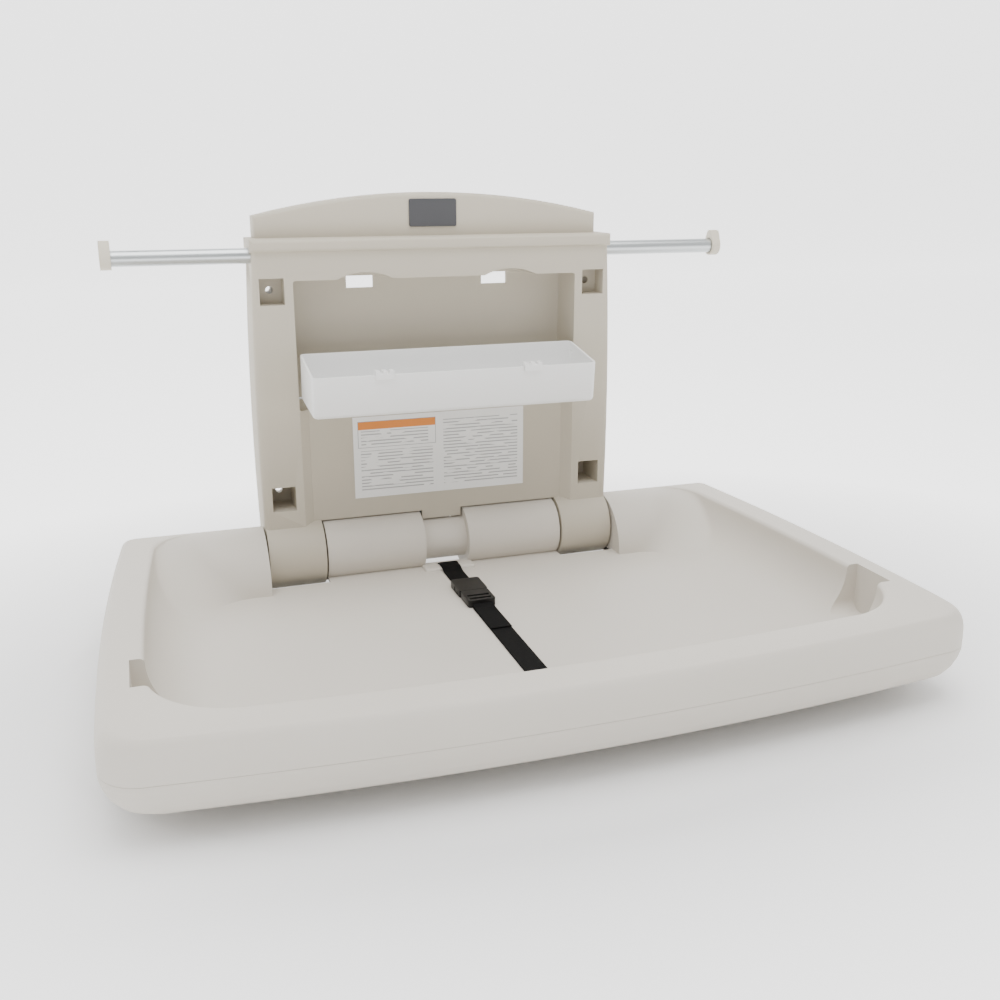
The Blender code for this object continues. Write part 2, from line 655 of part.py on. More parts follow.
def bed_tray(material):
    tray = add("bed_tray", shell_mesh("bed_tray", tray_rings(), 1), material)
    solidify(tray, BED_SKIN)
    pocket_x = PANEL_KNUCKLE_OUTER_X + HINGE_GAP
    rear_floor_y = BED_REAR_Y - BASIN_REAR_INSET - BASIN_REAR_SLOPE
    # The rear wall stops outboard of the hinge, where a cheek closes it
    cut(tray, box_mesh("hinge_room", (-pocket_x, rear_floor_y - 0.002, -0.1), (pocket_x, 0.05, 0.1)))
    slope = [
        (
            BED_REAR_Y - BASIN_REAR_INSET - BASIN_REAR_SLOPE * math.sin(a),
            RIM_Z - (RIM_Z - FLOOR_Z) * (1 - math.cos(a)) - 0.001,
        )
        for a in np.radians(np.linspace(90, 0, 11))
    ]
    cheek = slope + [(BED_REAR_Y - 0.008, RIM_Z - 0.001), (BED_REAR_Y - 0.0042, PARTING_Z + 0.02)]
    cheek += [(BED_REAR_Y - 0.0042, -0.008), (BED_REAR_Y - 0.016, FLOOR_Z - BED_SKIN + 0.001)]
    cheek += [(rear_floor_y, FLOOR_Z - BED_SKIN + 0.001)]
    for name, side in SIDES:
        low, high = span(side, pocket_x + 2 * GAP, pocket_x + BED_SKIN)
        join(tray, plate_mesh(f"cheek_{name}", cheek, "X", low, high))
    # Floor carried back to the knuckles
    floor = box_mesh(
        "rear_floor",
        (-pocket_x - 0.001, rear_floor_y - 0.004, FLOOR_Z - BED_SKIN - GAP),
        (pocket_x + 0.001, HINGE_Y - CHANNEL_RADIUS + 0.006, FLOOR_Z),
    )
    join(tray, floor)
    bed_knuckle_x = PANEL_KNUCKLE_INNER_X - HINGE_GAP
    for name, side in SIDES:
        low, high = span(side, CHANNEL_HALF_WIDTH, bed_knuckle_x + HINGE_GAP / 2)
        join(
            tray,
            rod_mesh(f"knuckle_{name}", (low, HINGE_Y, 0), (high, HINGE_Y, 0), BED_KNUCKLE_RADIUS, 48),
        )
    # Covered channel between the knuckles
    channel = arc((HINGE_Y, 0.0), CHANNEL_RADIUS, *CHANNEL_SWEEP_DEG, 14)
    channel += arc((HINGE_Y, 0.0), CHANNEL_RADIUS - BED_SKIN - 0.0005, *CHANNEL_SWEEP_DEG[::-1], 14)
    join(tray, plate_mesh("channel", channel, "X", -CHANNEL_HALF_WIDTH - 0.002, CHANNEL_HALF_WIDTH + 0.002))
    pad = box_mesh(
        "strap_pad",
        (-PAD_HALF_WIDTH, PAD_FRONT_Y, FLOOR_Z - 0.001),
        (PAD_HALF_WIDTH, HINGE_Y - CHANNEL_RADIUS + 0.004, FLOOR_Z + PAD_RISE),
        0.003,
        lambda edge: all(v.co.z > FLOOR_Z for v in edge.verts) or abs(edge.verts[0].co.z - edge.verts[1].co.z) > 0.001,
        2,
    )
    join(tray, pad)
    for name, side in SIDES:
        # Pockets for the panel's knuckles
        low, high = span(side, bed_knuckle_x, pocket_x)
        pocket = box_mesh(
            f"knuckle_pocket_{name}",
            (low, HINGE_Y - PANEL_KNUCKLE_RADIUS - HINGE_GAP, -0.1),
            (high, 0.05, 0.1),
        )
        cut(tray, pocket)
        # Drum of each knuckle is hollow, with an end wall each side for the axle
        low, high = span(side, CHANNEL_HALF_WIDTH + 0.005, bed_knuckle_x - 0.005)
        drum = rod_mesh(f"drum_{name}", (low, HINGE_Y, 0), (high, HINGE_Y, 0), BED_KNUCKLE_RADIUS - SKIN, 32)
        cut(tray, drum)
        low, high = span(side, ARM_X - ARM_WIDTH / 2 - 0.002, ARM_X + ARM_WIDTH / 2 + 0.002)
        door = box_mesh(
            f"arm_door_{name}",
            (low, HINGE_Y - BED_KNUCKLE_RADIUS - 0.02, -0.060),
            (high, HINGE_Y + 0.010, FLOOR_Z - BED_SKIN - 2 * GAP),
        )
        cut(tray, door)
        low, high = span(side, CHANNEL_HALF_WIDTH - 0.01, bed_knuckle_x + 0.001)
        cut(tray, rod_mesh(f"axle_hole_{name}", (low, HINGE_Y, 0), (high, HINGE_Y, 0), AXLE_RADIUS + GAP, 20))
        notch(tray, name, side)
    for label, y in (("rear", STRAP_SLOT_Y), ("front", STRAP_FRONT_SLOT_Y)):
        half = STRAP_WIDTH / 2 + 0.002
        cut(tray, box_mesh(f"strap_slot_{label}", (-half, y - 0.0025, -0.045), (half, y + 0.0025, 0.0)))
    for index, (x, y) in enumerate(screw_places()):
        join(tray, rod_mesh(f"screw_boss_{index}", (x, y, -0.0270), (x, y, RIM_Z - BED_SKIN / 2), 0.005, 12))
        cut(tray, rod_mesh(f"screw_pilot_{index}", (x, y, -0.0300), (x, y, -0.0130), SCREW_RADIUS + GAP, 8))
    smooth(tray, 30)
    return tray


def screw_places():
    places = []
    for _, side in SIDES:
        places.append((side * SCREW_FRONT_X, front_y(SCREW_FRONT_X) + SCREW_INSET))
        places += [(side * (side_half_width(y) - SCREW_INSET), y) for y in SCREW_SIDE_YS]
    return places


def notch_profile(margin, floor_z, top_z, steps):
    """The notch seen along X: upright sides and a round bottom. It spans the bar and the cap's hook."""
    near = HINGE_Y - (BAR_Z - NOTCH_NEAR_MARGIN) + margin
    far = HINGE_Y - (BAR_Z + NOTCH_FAR_MARGIN) - margin
    radius = NOTCH_CORNER_RADIUS + margin
    low = floor_z - margin
    points = arc((near - radius, low + radius), radius, 0, -90, steps)
    points += arc((far + radius, low + radius), radius, -90, -180, steps)
    return points + [(far, top_z), (near, top_z)]


def notch(tray, name, side):
    """A channel cut down through the side rim, with walls of its own inside the shell."""
    floor_z = BAR_Y - HINGE_Y - NOTCH_REACH
    core = bpy.data.objects.get("tray_core") or tray_core()
    low, high = span(side, 0.320, NOTCH_OUTER_X + NOTCH_WALL)
    housing = plate_mesh(f"notch_housing_{name}", notch_profile(NOTCH_WALL, floor_z, RIM_Z, 4), "X", low, high)
    join(tray, housing, inside=core)
    low, high = span(side, 0.300, NOTCH_OUTER_X)
    cut(tray, plate_mesh(f"notch_{name}", notch_profile(0.0, floor_z, RIM_Z + 0.02, 5), "X", low, high))


def tray_core():
    """The tray's outer surface moved in by half its wall and closed below, which trims what is built inside it."""

    def build(bm):
        rings = tray_rings()
        below = rings[0].copy()
        below[:, 2] = -0.070
        loft(bm, [below, *rings], close_start=True)
        bmesh.ops.recalc_face_normals(bm, faces=bm.faces)
        bmesh.ops.triangulate(bm, faces=bm.faces)
        bm.normal_update()
        moved = [vert.co - vert.normal * BED_SKIN / 2 for vert in bm.verts]
        for vert, place in zip(bm.verts, moved):
            vert.co = place

    return add("tray_core", mesh_of("tray_core", build))


def bed_base(material):
    base = add("bed_base", shell_mesh("bed_base", base_rings(), -1), material)
    solidify(base, BED_SKIN)
    pocket_x = PANEL_KNUCKLE_OUTER_X + HINGE_GAP
    room = [(HINGE_Y - PANEL_KNUCKLE_RADIUS - HINGE_GAP, 0.05), (HINGE_Y - PANEL_KNUCKLE_RADIUS - HINGE_GAP, -0.1)]
    room += [(0.05, -0.1), (0.05, 0.05)]
    cut(base, plate_mesh("hinge_room", room, "X", -pocket_x, pocket_x))
    for index, (x, y) in enumerate(screw_places()):
        cut(base, rod_mesh(f"screw_hole_{index}", (x, y, -0.1), (x, y, 0.0), SCREW_RADIUS + GAP, 8))
        seat = (x, y, base_height(x, y) + SCREW_SINK)
        cut(base, rod_mesh(f"screw_seat_{index}", (x, y, -0.1), seat, SCREW_HEAD_RADIUS + GAP, 16))
    smooth(base, 30)
    return base


# ---------------------------------------------------------------- bar


def bar_parts(metal, cap_material):
    bar = add(
        "grab_bar",
        rod_mesh("grab_bar", (-BAR_HALF_LENGTH, BAR_Y, BAR_Z), (BAR_HALF_LENGTH, BAR_Y, BAR_Z), BAR_RADIUS, 24),
        metal,
    )
    smooth(bar)
    for name, side in SIDES:
        low, high = span(side, CAP_HALF_SPAN - CAP_LENGTH, CAP_HALF_SPAN)
        outline = arc((BAR_Y, BAR_Z), CAP_RADIUS, 160, 380, 14)
        outline += [(BAR_Y + 0.0050, BAR_Z + CAP_HOOK_RISE - 0.002), (BAR_Y + 0.0025, BAR_Z + CAP_HOOK_RISE)]
        outline += [(BAR_Y - 0.0035, BAR_Z + CAP_HOOK_RISE), (BAR_Y - 0.0060, BAR_Z + CAP_HOOK_RISE - 0.002)]
        cap = add(f"bar_cap_{name}", plate_mesh(f"bar_cap_{name}", outline, "X", low, high), cap_material)
        low, high = span(side, CAP_HALF_SPAN - CAP_LENGTH - 0.001, BAR_HALF_LENGTH + GAP)
        cut(cap, rod_mesh("seat", (low, BAR_Y, BAR_Z), (high, BAR_Y, BAR_Z), BAR_RADIUS + GAP, 24))
        smooth(cap)
        x = side * SADDLE_X
        saddle = add(
            f"bar_saddle_{name}",
            box_mesh(
                f"bar_saddle_{name}",
                (x - SADDLE_WIDTH / 2, RAIL_FRONT_Y + SKIN + GAP, BAR_Z - 0.0120),
                (x + SADDLE_WIDTH / 2, BAR_Y + 0.014, LEDGE_HIGH_Z - SKIN - GAP),
                0.002,
                lambda edge: abs(edge.verts[0].co.x - edge.verts[1].co.x) > 0.01,
                2,
            ),
            metal,
        )
        low, high = x - 0.02, x + 0.02
        cut(saddle, rod_mesh("bore", (low, BAR_Y, BAR_Z), (high, BAR_Y, BAR_Z), BAR_RADIUS + GAP, 16))


# ---------------------------------------------------------------- hinge


def hinge_parts(steel, nylon, damper_plastic):
    reach = PANEL_KNUCKLE_OUTER_X - 0.006
    axle = add("hinge_axle", rod_mesh("hinge_axle", (-reach, HINGE_Y, 0), (reach, HINGE_Y, 0), AXLE_RADIUS, 20), steel)
    smooth(axle)
    for name, side in SIDES:
        inner, outer = PANEL_KNUCKLE_INNER_X + GAP, PANEL_KNUCKLE_OUTER_X - 0.004 - GAP
        low, high = span(side, inner, outer)
        bush = add(
            f"hinge_bush_{name}",
            rod_mesh(f"hinge_bush_{name}", (low, HINGE_Y, 0), (high, HINGE_Y, 0), AXLE_RADIUS + BUSH_WALL, 20),
            nylon,
        )
        low, high = span(side, inner - 0.001, outer + 0.001)
        cut(bush, rod_mesh("bore", (low, HINGE_Y, 0), (high, HINGE_Y, 0), AXLE_RADIUS + GAP, 20))
        smooth(bush)
        hinge_arm(name, side, steel)
    half = CHANNEL_HALF_WIDTH - 0.007
    body = add(
        "hinge_damper",
        rod_mesh("hinge_damper", (-half, HINGE_Y, 0), (half, HINGE_Y, 0), CHANNEL_RADIUS - BED_SKIN - 0.003, 28),
        damper_plastic,
    )
    join(body, box_mesh("foot", (-0.014, HINGE_Y + 0.006, -0.019), (0.014, -WALL_PLATE_THICK - GAP, -0.004)))
    cut(body, rod_mesh("bore", (-0.1, HINGE_Y, 0), (0.1, HINGE_Y, 0), AXLE_RADIUS + GAP, 20))
    smooth(body)
    # Steel plate flat on the wall, with a foot to the panel's front skin
    back, foot_y = -WALL_PLATE_THICK, LABEL_FACE_Y + SKIN + GAP
    plate = [(back, WALL_PLATE_LOW_Z), (0.0, WALL_PLATE_LOW_Z), (0.0, 0.090), (back, 0.090), (back, 0.063)]
    plate += [(foot_y, 0.063), (foot_y, 0.060), (back, 0.060)]
    mesh = plate_mesh("hinge_wall_plate", plate, "X", -WALL_PLATE_HALF_WIDTH, WALL_PLATE_HALF_WIDTH)
    add("hinge_wall_plate", mesh, steel)


def hinge_arm(name, side, steel):
    """A steel arm on the axle, which carries the bed from inside."""
    low, high = span(side, ARM_X - ARM_WIDTH / 2, ARM_X + ARM_WIDTH / 2)
    outer = 0.014
    end_y, top, bottom = ARM_END_Y, ARM_TOP_Z, ARM_TOP_Z - ARM_HEIGHT
    outline = arc((HINGE_Y, 0.0), outer, -60, 180, 16)
    outline += [(HINGE_Y - outer, top), (end_y, top), (end_y, bottom), (HINGE_Y + outer / 2, bottom)]
    arm = add(f"hinge_arm_{name}", plate_mesh(f"hinge_arm_{name}", outline, "X", low, high), steel)
    bore = rod_mesh("bore", (low - 0.01, HINGE_Y, 0), (high + 0.01, HINGE_Y, 0), AXLE_RADIUS + GAP, 20)
    cut(arm, bore)


# ---------------------------------------------------------------- bin


def bin_parts(material, steel):
    droop = Matrix.Translation((0, BIN_PIVOT_Y, BIN_PIVOT_Z)) @ Matrix.Rotation(math.radians(BIN_DROOP_DEG), 4, "X")
    rear, front = BIN_BEHIND_PIVOT, -BIN_REACH
    bottom = -BIN_BELOW_PIVOT
    rear_top, front_top = bottom + BIN_REAR_HEIGHT, bottom + BIN_FRONT_HEIGHT

    def side_outline(inset, extra_top):
        return [
            (rear - inset, bottom + inset),
            (front + inset, bottom + inset),
            (front + inset, front_top + extra_top),
            (rear - inset, rear_top + extra_top),
        ]

    def is_soft(edge):
        upright = abs(edge.verts[0].co.z - edge.verts[1].co.z) > 0.02
        low = all(vert.co.z < 0.0 for vert in edge.verts)
        return upright or low

    def placed(mesh):
        mesh.transform(droop)
        return mesh

    half = BIN_HALF_WIDTH
    outside = plate_mesh("bin", side_outline(0.0, 0.0), "X", -half, half, BIN_CORNER_RADIUS, is_soft)
    tray = add("bin", placed(outside), material)
    inside = plate_mesh(
        "inside",
        side_outline(BIN_WALL, 0.02),
        "X",
        -half + BIN_WALL,
        half - BIN_WALL,
        BIN_CORNER_RADIUS - BIN_WALL,
        is_soft,
    )
    hollow = cut(tray, placed(inside))
    hollow.name = "bin_inside"
    hole_radius = BIN_PIN_RADIUS + GAP
    cut(tray, placed(rod_mesh("pin_hole", (-0.2, 0, 0), (0.2, 0, 0), hole_radius, 12)))
    detent = (rear - 0.012, rear_top - 0.012)
    cut(tray, placed(rod_mesh("detent_hole", (-0.2, *detent), (0.2, *detent), 0.0025, 10)))
    smooth(tray)
    for name, side in SIDES:
        low, high = span(side, half - 0.004, RECESS_HALF_WIDTH + 0.012)
        pin = rod_mesh(f"bin_pin_{name}", (low, BIN_PIVOT_Y, BIN_PIVOT_Z), (high, BIN_PIVOT_Y, BIN_PIVOT_Z), BIN_PIN_RADIUS, 12)
        add(f"bin_pin_{name}", pin, steel)
        x = side * CLIP_X
        # Comb of three lugs over the front rim
        low_z = front_top + GAP
        comb = [(x - 0.011, low_z), (x + 0.011, low_z)]
        for centre in (0.0085, 0.0, -0.0085):
            comb += [(x + centre + 0.0025, low_z + 0.005), (x + centre - 0.0025, low_z + 0.005)]
            if centre > -0.008:
                comb += [(x + centre - 0.0025, low_z + 0.002), (x + centre - 0.0060, low_z + 0.002)]
        clip = plate_mesh(f"bin_clip_{name}", comb, "Y", front - 0.003, front + 0.006)
        clip_object = add(f"bin_clip_{name}", placed(clip), material)
        skirt = box_mesh("skirt", (x - 0.011, front - 0.003, front_top - 0.005), (x + 0.011, front - GAP, low_z + 0.001))
        join(clip_object, placed(skirt))


# ---------------------------------------------------------------- strap


def ribbon_mesh(name, path, thickness):
    """Webbing: a path of (y, z) along its underside, thickened upwards across the travel, STRAP_WIDTH wide."""
    path = [Vector(point) for point in path]
    upper = []
    for index, point in enumerate(path):
        before = path[max(index - 1, 0)]
        after = path[min(index + 1, len(path) - 1)]
        along = (after - before).normalized()
        upper.append(point + Vector((-along.y, along.x)) * -thickness)
    outline = [tuple(point) for point in path] + [tuple(point) for point in reversed(upper)]
    return plate_mesh(name, outline, "X", -STRAP_WIDTH / 2, STRAP_WIDTH / 2)


def strap_parts(webbing, plastic, steel):
    floor = FLOOR_Z + GAP
    pad_top = FLOOR_Z + PAD_RISE + GAP
    slot = STRAP_SLOT_Y
    rear_path = [(slot + 0.0008, -0.036), (slot + 0.0008, pad_top - 0.001), (slot - 0.0005, pad_top + 0.0004)]
    rear_path += [(slot - 0.004, pad_top + 0.0003), (PAD_FRONT_Y - 0.001, pad_top)]
    rear_path += [(PAD_FRONT_Y - 0.010, floor + 0.0004), (PAD_FRONT_Y - 0.016, floor)]
    rear_path += [(BUCKLE_REAR_Y + 0.004, floor), (BUCKLE_REAR_Y + GAP, floor + 0.001)]
    add("strap_rear", ribbon_mesh("strap_rear", rear_path, STRAP_THICK), webbing)
    slot = STRAP_FRONT_SLOT_Y
    front_path = [(BUCKLE_FRONT_Y - GAP, floor + 0.001), (BUCKLE_FRONT_Y - 0.006, floor)]
    front_path += [(slot + 0.0022, floor), (slot + 0.0002, floor - 0.0012), (slot - 0.0008, floor - 0.004)]
    front_path += [(slot - 0.0008, -0.0390)]
    add("strap_front", ribbon_mesh("strap_front", front_path, STRAP_THICK), webbing)
    tail_z = floor + STRAP_THICK + GAP
    tail_path = [(BUCKLE_FRONT_Y - GAP, tail_z + 0.002), (BUCKLE_FRONT_Y - 0.008, tail_z + 0.0005)]
    tail_path += [(BUCKLE_FRONT_Y - 0.020, tail_z), (STRAP_TAIL_END_Y, tail_z)]
    add("strap_tail", ribbon_mesh("strap_tail", tail_path, STRAP_THICK), webbing)
    # Bars under the floor that the strap ends are stitched to
    for label, y, z in (("rear", STRAP_SLOT_Y, -0.0385), ("front", STRAP_FRONT_SLOT_Y, -0.0415)):
        keeper = box_mesh(f"strap_keeper_{label}", (-0.020, y - 0.006, z - 0.002), (0.020, y + 0.006, z + 0.002))
        add(f"strap_keeper_{label}", keeper, steel)
    buckle_parts(plastic, floor)


def buckle_parts(plastic, floor):
    half, top = BUCKLE_HALF_WIDTH, floor + BUCKLE_HEIGHT
    low = floor
    upright = 0.003

    def is_corner(edge):
        return abs(edge.verts[0].co.z - edge.verts[1].co.z) > upright

    socket = add(
        "buckle_socket",
        box_mesh("buckle_socket", (-half, BUCKLE_JOIN_Y, low), (half, BUCKLE_REAR_Y, top), 0.003, is_corner, 2),
        plastic,
    )
    cut(
        socket,
        box_mesh(
            "cavity", (-0.0146, BUCKLE_JOIN_Y - 0.01, low + 0.0018), (0.0146, BUCKLE_REAR_Y - 0.008, top - 0.0018)
        ),
    )
    cut(
        socket,
        box_mesh(
            "windows",
            (-half - 0.01, BUCKLE_JOIN_Y + 0.006, low + 0.0017),
            (half + 0.01, BUCKLE_JOIN_Y + 0.022, top - 0.0017),
        ),
    )
    plug = add(
        "buckle_plug",
        box_mesh(
            "buckle_plug", (-half + 0.001, BUCKLE_FRONT_Y, low), (half - 0.001, BUCKLE_JOIN_Y - GAP, top), 0.003, is_corner, 2
        ),
        plastic,
    )
    join(plug, box_mesh("tongue", (-0.003, BUCKLE_JOIN_Y - 0.002, low + 0.0021), (0.003, BUCKLE_JOIN_Y + 0.028, top - 0.0021)))
    cut(plug, box_mesh("web_slot", (-0.0135, BUCKLE_FRONT_Y + 0.005, low - 0.01), (0.0135, BUCKLE_FRONT_Y + 0.009, top + 0.01)))
    cut(plug, box_mesh("lock_slot", (-0.0135, BUCKLE_FRONT_Y + 0.014, low - 0.01), (0.0135, BUCKLE_FRONT_Y + 0.018, top + 0.01)))
    for name, side in SIDES:
        near, far = span(side, 0.0095, 0.0141)
        prong = box_mesh(
            f"buckle_prong_{name}", (near, BUCKLE_JOIN_Y, low + 0.0021), (far, BUCKLE_JOIN_Y + 0.021, top - 0.0021)
        )
        prong_object = add(f"buckle_prong_{name}", prong, plastic)
        near, far = span(side, 0.0138, half - 0.0004)
        thumb = box_mesh("thumb", (near, BUCKLE_JOIN_Y + 0.0090, low + 0.0022), (far, BUCKLE_JOIN_Y + 0.0205, top - 0.0022))
        join(prong_object, thumb)


# ---------------------------------------------------------------- small parts


def inner_stiffeners(steel):
    bottom = ARM_TOP_Z - ARM_HEIGHT
    low = (-CROSS_BAR_HALF_LENGTH, ARM_END_Y - GAP - CROSS_BAR_DEPTH, bottom)
    high = (CROSS_BAR_HALF_LENGTH, ARM_END_Y - GAP, ARM_TOP_Z)
    add("cross_bar", box_mesh("cross_bar", low, high), steel)
    for name, side in SIDES:
        low, high = span(side, 0.1900, 0.2180)
        outer = box_mesh(
            f"rail_stiffener_{name}",
            (low, RAIL_FRONT_Y + SKIN + GAP, POCKET_LOWER_Z + 0.022),
            (high, -0.030, POCKET_UPPER_Z - 0.022),
        )
        channel = add(f"rail_stiffener_{name}", outer, steel)
        cut(
            channel,
            box_mesh("trough", (low + 0.002, RAIL_FRONT_Y + SKIN + 0.003, 0.0), (high - 0.002, 0.0, 0.5)),
        )


def trim_parts(label_material, badge_material):
    add(
        "label",
        box_mesh("label", (-0.113, LABEL_FACE_Y - GAP - 0.0004, 0.066), (0.113, LABEL_FACE_Y - GAP, 0.171)),
        label_material,
    )
    add(
        "badge",
        box_mesh(
            "badge",
            (-0.030, ARCH_FRONT_Y - GAP - 0.0015, 0.3995),
            (0.030, ARCH_FRONT_Y - GAP, 0.4325),
            0.002,
            lambda edge: abs(edge.verts[0].co.y - edge.verts[1].co.y) > 0.001,
            2,
        ),
        badge_material,
    )


def base_height(x, y):
    """Height of the base's outer face at a point of the plan, on its rounded edge or on the dome inside that."""
    inset = min(side_half_width(y) - abs(x), y - front_y(x))
    insets, depths = zip(*BASE_EDGE[1:])
    share = max(inset - insets[-1], 0.0) / BASE_DOME_REACH
    dome = (BASE_DEPTH - depths[-1]) * (1 - (1 - share) ** 2)
    return PARTING_Z - GAP - float(np.interp(inset, insets, depths)) - dome


def base_screws(steel):
    for index, (x, y) in enumerate(screw_places(), 1):
        head_top = base_height(x, y) + SCREW_SINK - GAP
        head_low = head_top - SCREW_HEAD_HEIGHT
        screw = add(
            f"base_screw_{index}",
            rod_mesh(f"base_screw_{index}", (x, y, head_low), (x, y, head_top), SCREW_HEAD_RADIUS, 12),
            steel,
        )
        join(screw, rod_mesh("shank", (x, y, head_top - SCREW_HEAD_HEIGHT / 2), (x, y, -0.0150), SCREW_RADIUS, 8))


def hang(name, place, belongs):
    """Parents the pieces that belong(name) to an empty on their joint's axis, where they stand."""
    pivot = bpy.data.objects.new(name, None)
    pivot.location = place
    PARTS.objects.link(pivot)
    for piece in list(PARTS.objects):
        if piece.type == "MESH" and belongs(piece.name):
            piece.parent = pivot
            piece.matrix_parent_inverse = Matrix.Translation(place).inverted()


def main():
    clear_scene()
    panel_plastic = finish_material("panel_plastic", (0.50, 0.475, 0.44), 0.5)
    bed_plastic = finish_material("bed_plastic", (0.60, 0.58, 0.55), 0.5)
    white_plastic = finish_material("white_plastic", (0.80, 0.79, 0.76), 0.4)
    cap_plastic = finish_material("cap_plastic", (0.62, 0.59, 0.53), 0.5)
    aluminium = finish_material("aluminium", (0.70, 0.71, 0.72), 0.35, 1.0)
    steel = finish_material("steel", (0.55, 0.56, 0.57), 0.4, 1.0)
    nylon = finish_material("nylon", (0.75, 0.73, 0.68), 0.5)
    black_plastic = finish_material("black_plastic", (0.03, 0.03, 0.03), 0.5)
    buckle_plastic = finish_material("buckle_plastic", (0.05, 0.05, 0.047), 0.45)
    webbing = finish_material("webbing", (0.012, 0.012, 0.012), 0.8)
    label_stock = finish_material("label_stock", (0.85, 0.85, 0.84), 0.45)
    badge_plate = finish_material("badge_plate", (0.05, 0.05, 0.055), 0.4)

    back_panel(panel_plastic)
    bed_tray(bed_plastic)
    bed_base(bed_plastic)
    bar_parts(aluminium, cap_plastic)
    hinge_parts(steel, nylon, black_plastic)
    bin_parts(white_plastic, steel)
    strap_parts(webbing, buckle_plastic, steel)
    inner_stiffeners(steel)
    trim_parts(label_stock, badge_plate)
    base_screws(steel)
    bin_place = (0.0, BIN_PIVOT_Y, BIN_PIVOT_Z)
    hang("bed_hinge", (0.0, HINGE_Y, 0.0), lambda name: name.startswith(BED_STARTS))
    hang("bin_hinge", bin_place, lambda name: name in BIN_PIECES)


main()
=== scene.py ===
"""Looks of a wall-mounted changing table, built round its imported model.

The wall is the plane Y = 0, the bed folds out towards -Y and +Z is up. Lengths are in metres.
"""

import json
import math

import bmesh
import bpy
import numpy as np
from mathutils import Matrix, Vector


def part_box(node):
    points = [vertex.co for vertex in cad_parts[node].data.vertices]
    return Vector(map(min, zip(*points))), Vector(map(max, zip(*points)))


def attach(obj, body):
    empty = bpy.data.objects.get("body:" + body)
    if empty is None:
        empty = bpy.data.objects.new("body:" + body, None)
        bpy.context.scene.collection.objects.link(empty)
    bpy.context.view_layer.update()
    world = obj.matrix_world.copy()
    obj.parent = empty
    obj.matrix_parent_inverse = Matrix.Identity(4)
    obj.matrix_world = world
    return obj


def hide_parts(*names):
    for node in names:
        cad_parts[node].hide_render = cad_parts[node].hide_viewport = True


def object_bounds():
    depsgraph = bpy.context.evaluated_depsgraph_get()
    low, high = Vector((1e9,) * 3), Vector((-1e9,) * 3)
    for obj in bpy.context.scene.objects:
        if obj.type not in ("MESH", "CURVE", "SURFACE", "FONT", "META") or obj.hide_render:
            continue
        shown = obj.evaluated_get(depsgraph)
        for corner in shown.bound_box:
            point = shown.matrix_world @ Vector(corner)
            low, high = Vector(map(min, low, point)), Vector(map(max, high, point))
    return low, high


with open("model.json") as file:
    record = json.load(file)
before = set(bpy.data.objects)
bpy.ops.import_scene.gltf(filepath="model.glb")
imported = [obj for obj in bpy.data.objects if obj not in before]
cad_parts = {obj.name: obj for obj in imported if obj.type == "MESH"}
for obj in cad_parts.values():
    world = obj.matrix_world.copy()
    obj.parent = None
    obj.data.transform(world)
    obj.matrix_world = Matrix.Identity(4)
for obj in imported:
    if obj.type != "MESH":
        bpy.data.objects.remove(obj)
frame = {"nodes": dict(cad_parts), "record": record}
CAD_LOW, CAD_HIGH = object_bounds()
SIDES = (("left", -1), ("right", 1))

# Clearances and walls
GAP = 0.0003
HINGE_GAP = 0.0025
BED_SKIN = 0.003

# Hinge line and the knuckles round it
HINGE_Y = -0.041
PANEL_KNUCKLE_RADIUS = 0.043
BED_KNUCKLE_RADIUS = 0.040
CHANNEL_RADIUS = 0.028
CHANNEL_SWEEP_DEG = (97, 248)
PANEL_KNUCKLE_INNER_X = 0.158
PANEL_KNUCKLE_OUTER_X = 0.228
CHANNEL_HALF_WIDTH = 0.029

# Bed
BED_HALF_WIDTH = 0.4225
BED_REAR_HALF_WIDTH = 0.400
BED_WIDEST_Y = -0.445
BED_REAR_Y = -0.0344
BED_FRONT_Y = -0.580
BED_FRONT_BOW = 0.019
BOW_AT_X = 0.360
BED_CORNER_RADIUS = 0.040
BED_REAR_CORNER_RADIUS = 0.008
RIM_Z = 0.0385
FLOOR_Z = -0.029
PARTING_Z = 0.002
BASE_DEPTH = 0.061
BASE_EDGE_INSETS = (0.0, 0.0, 0.0015, 0.005, 0.010, 0.018, 0.028)
BASE_EDGE_DEPTHS = (0.0, 0.004, 0.012, 0.022, 0.030, 0.036, 0.040)
BASE_DOME_REACH = 0.300
RIM_ROUND_SIDE = 0.014
RIM_ROUND_FRONT = 0.010
RIM_ROUND_REAR = 0.006
RIM_INNER_ROUND = 0.005
TRAY_EDGE_ROUND = 0.0016
BASE_EDGE_ROUND = 0.0008
BED_SHARP_DEG = 42
AXLE_HOLE_RADIUS = 0.0083

# Basin: where its wall starts, how far the wall hollows in, and its corners in plan
BASIN_SIDE_INSET = 0.0435
BASIN_FRONT_INSET = 0.051
BASIN_REAR_INSET = 0.0106
BASIN_SIDE_HOLLOW = 0.060
BASIN_FRONT_HOLLOW = 0.035
BASIN_REAR_SLOPE = 0.065
BASIN_CORNER_RADIUS = 0.090
BASIN_REAR_CORNER_RADIUS = 0.045
BASIN_REAR_CORNER_GROWTH = 0.010

# How far cutting blocks and the trimming core reach past what they cut
CUT_REACH = 0.05
CUT_REACH_FAR = 0.1
CORE_BOTTOM_Z = -0.070

# Side notches
BAR_Y = -0.044
BAR_Z = 0.370
NOTCH_REACH = 0.013
NOTCH_NEAR_MARGIN = 0.0165
NOTCH_FAR_MARGIN = 0.041
NOTCH_CORNER_RADIUS = 0.012
NOTCH_INNER_X = 0.300
NOTCH_HOUSING_INNER_X = 0.320
NOTCH_OUTER_X = 0.392
NOTCH_WALL = 0.004
NOTCH_OVERCUT = 0.02

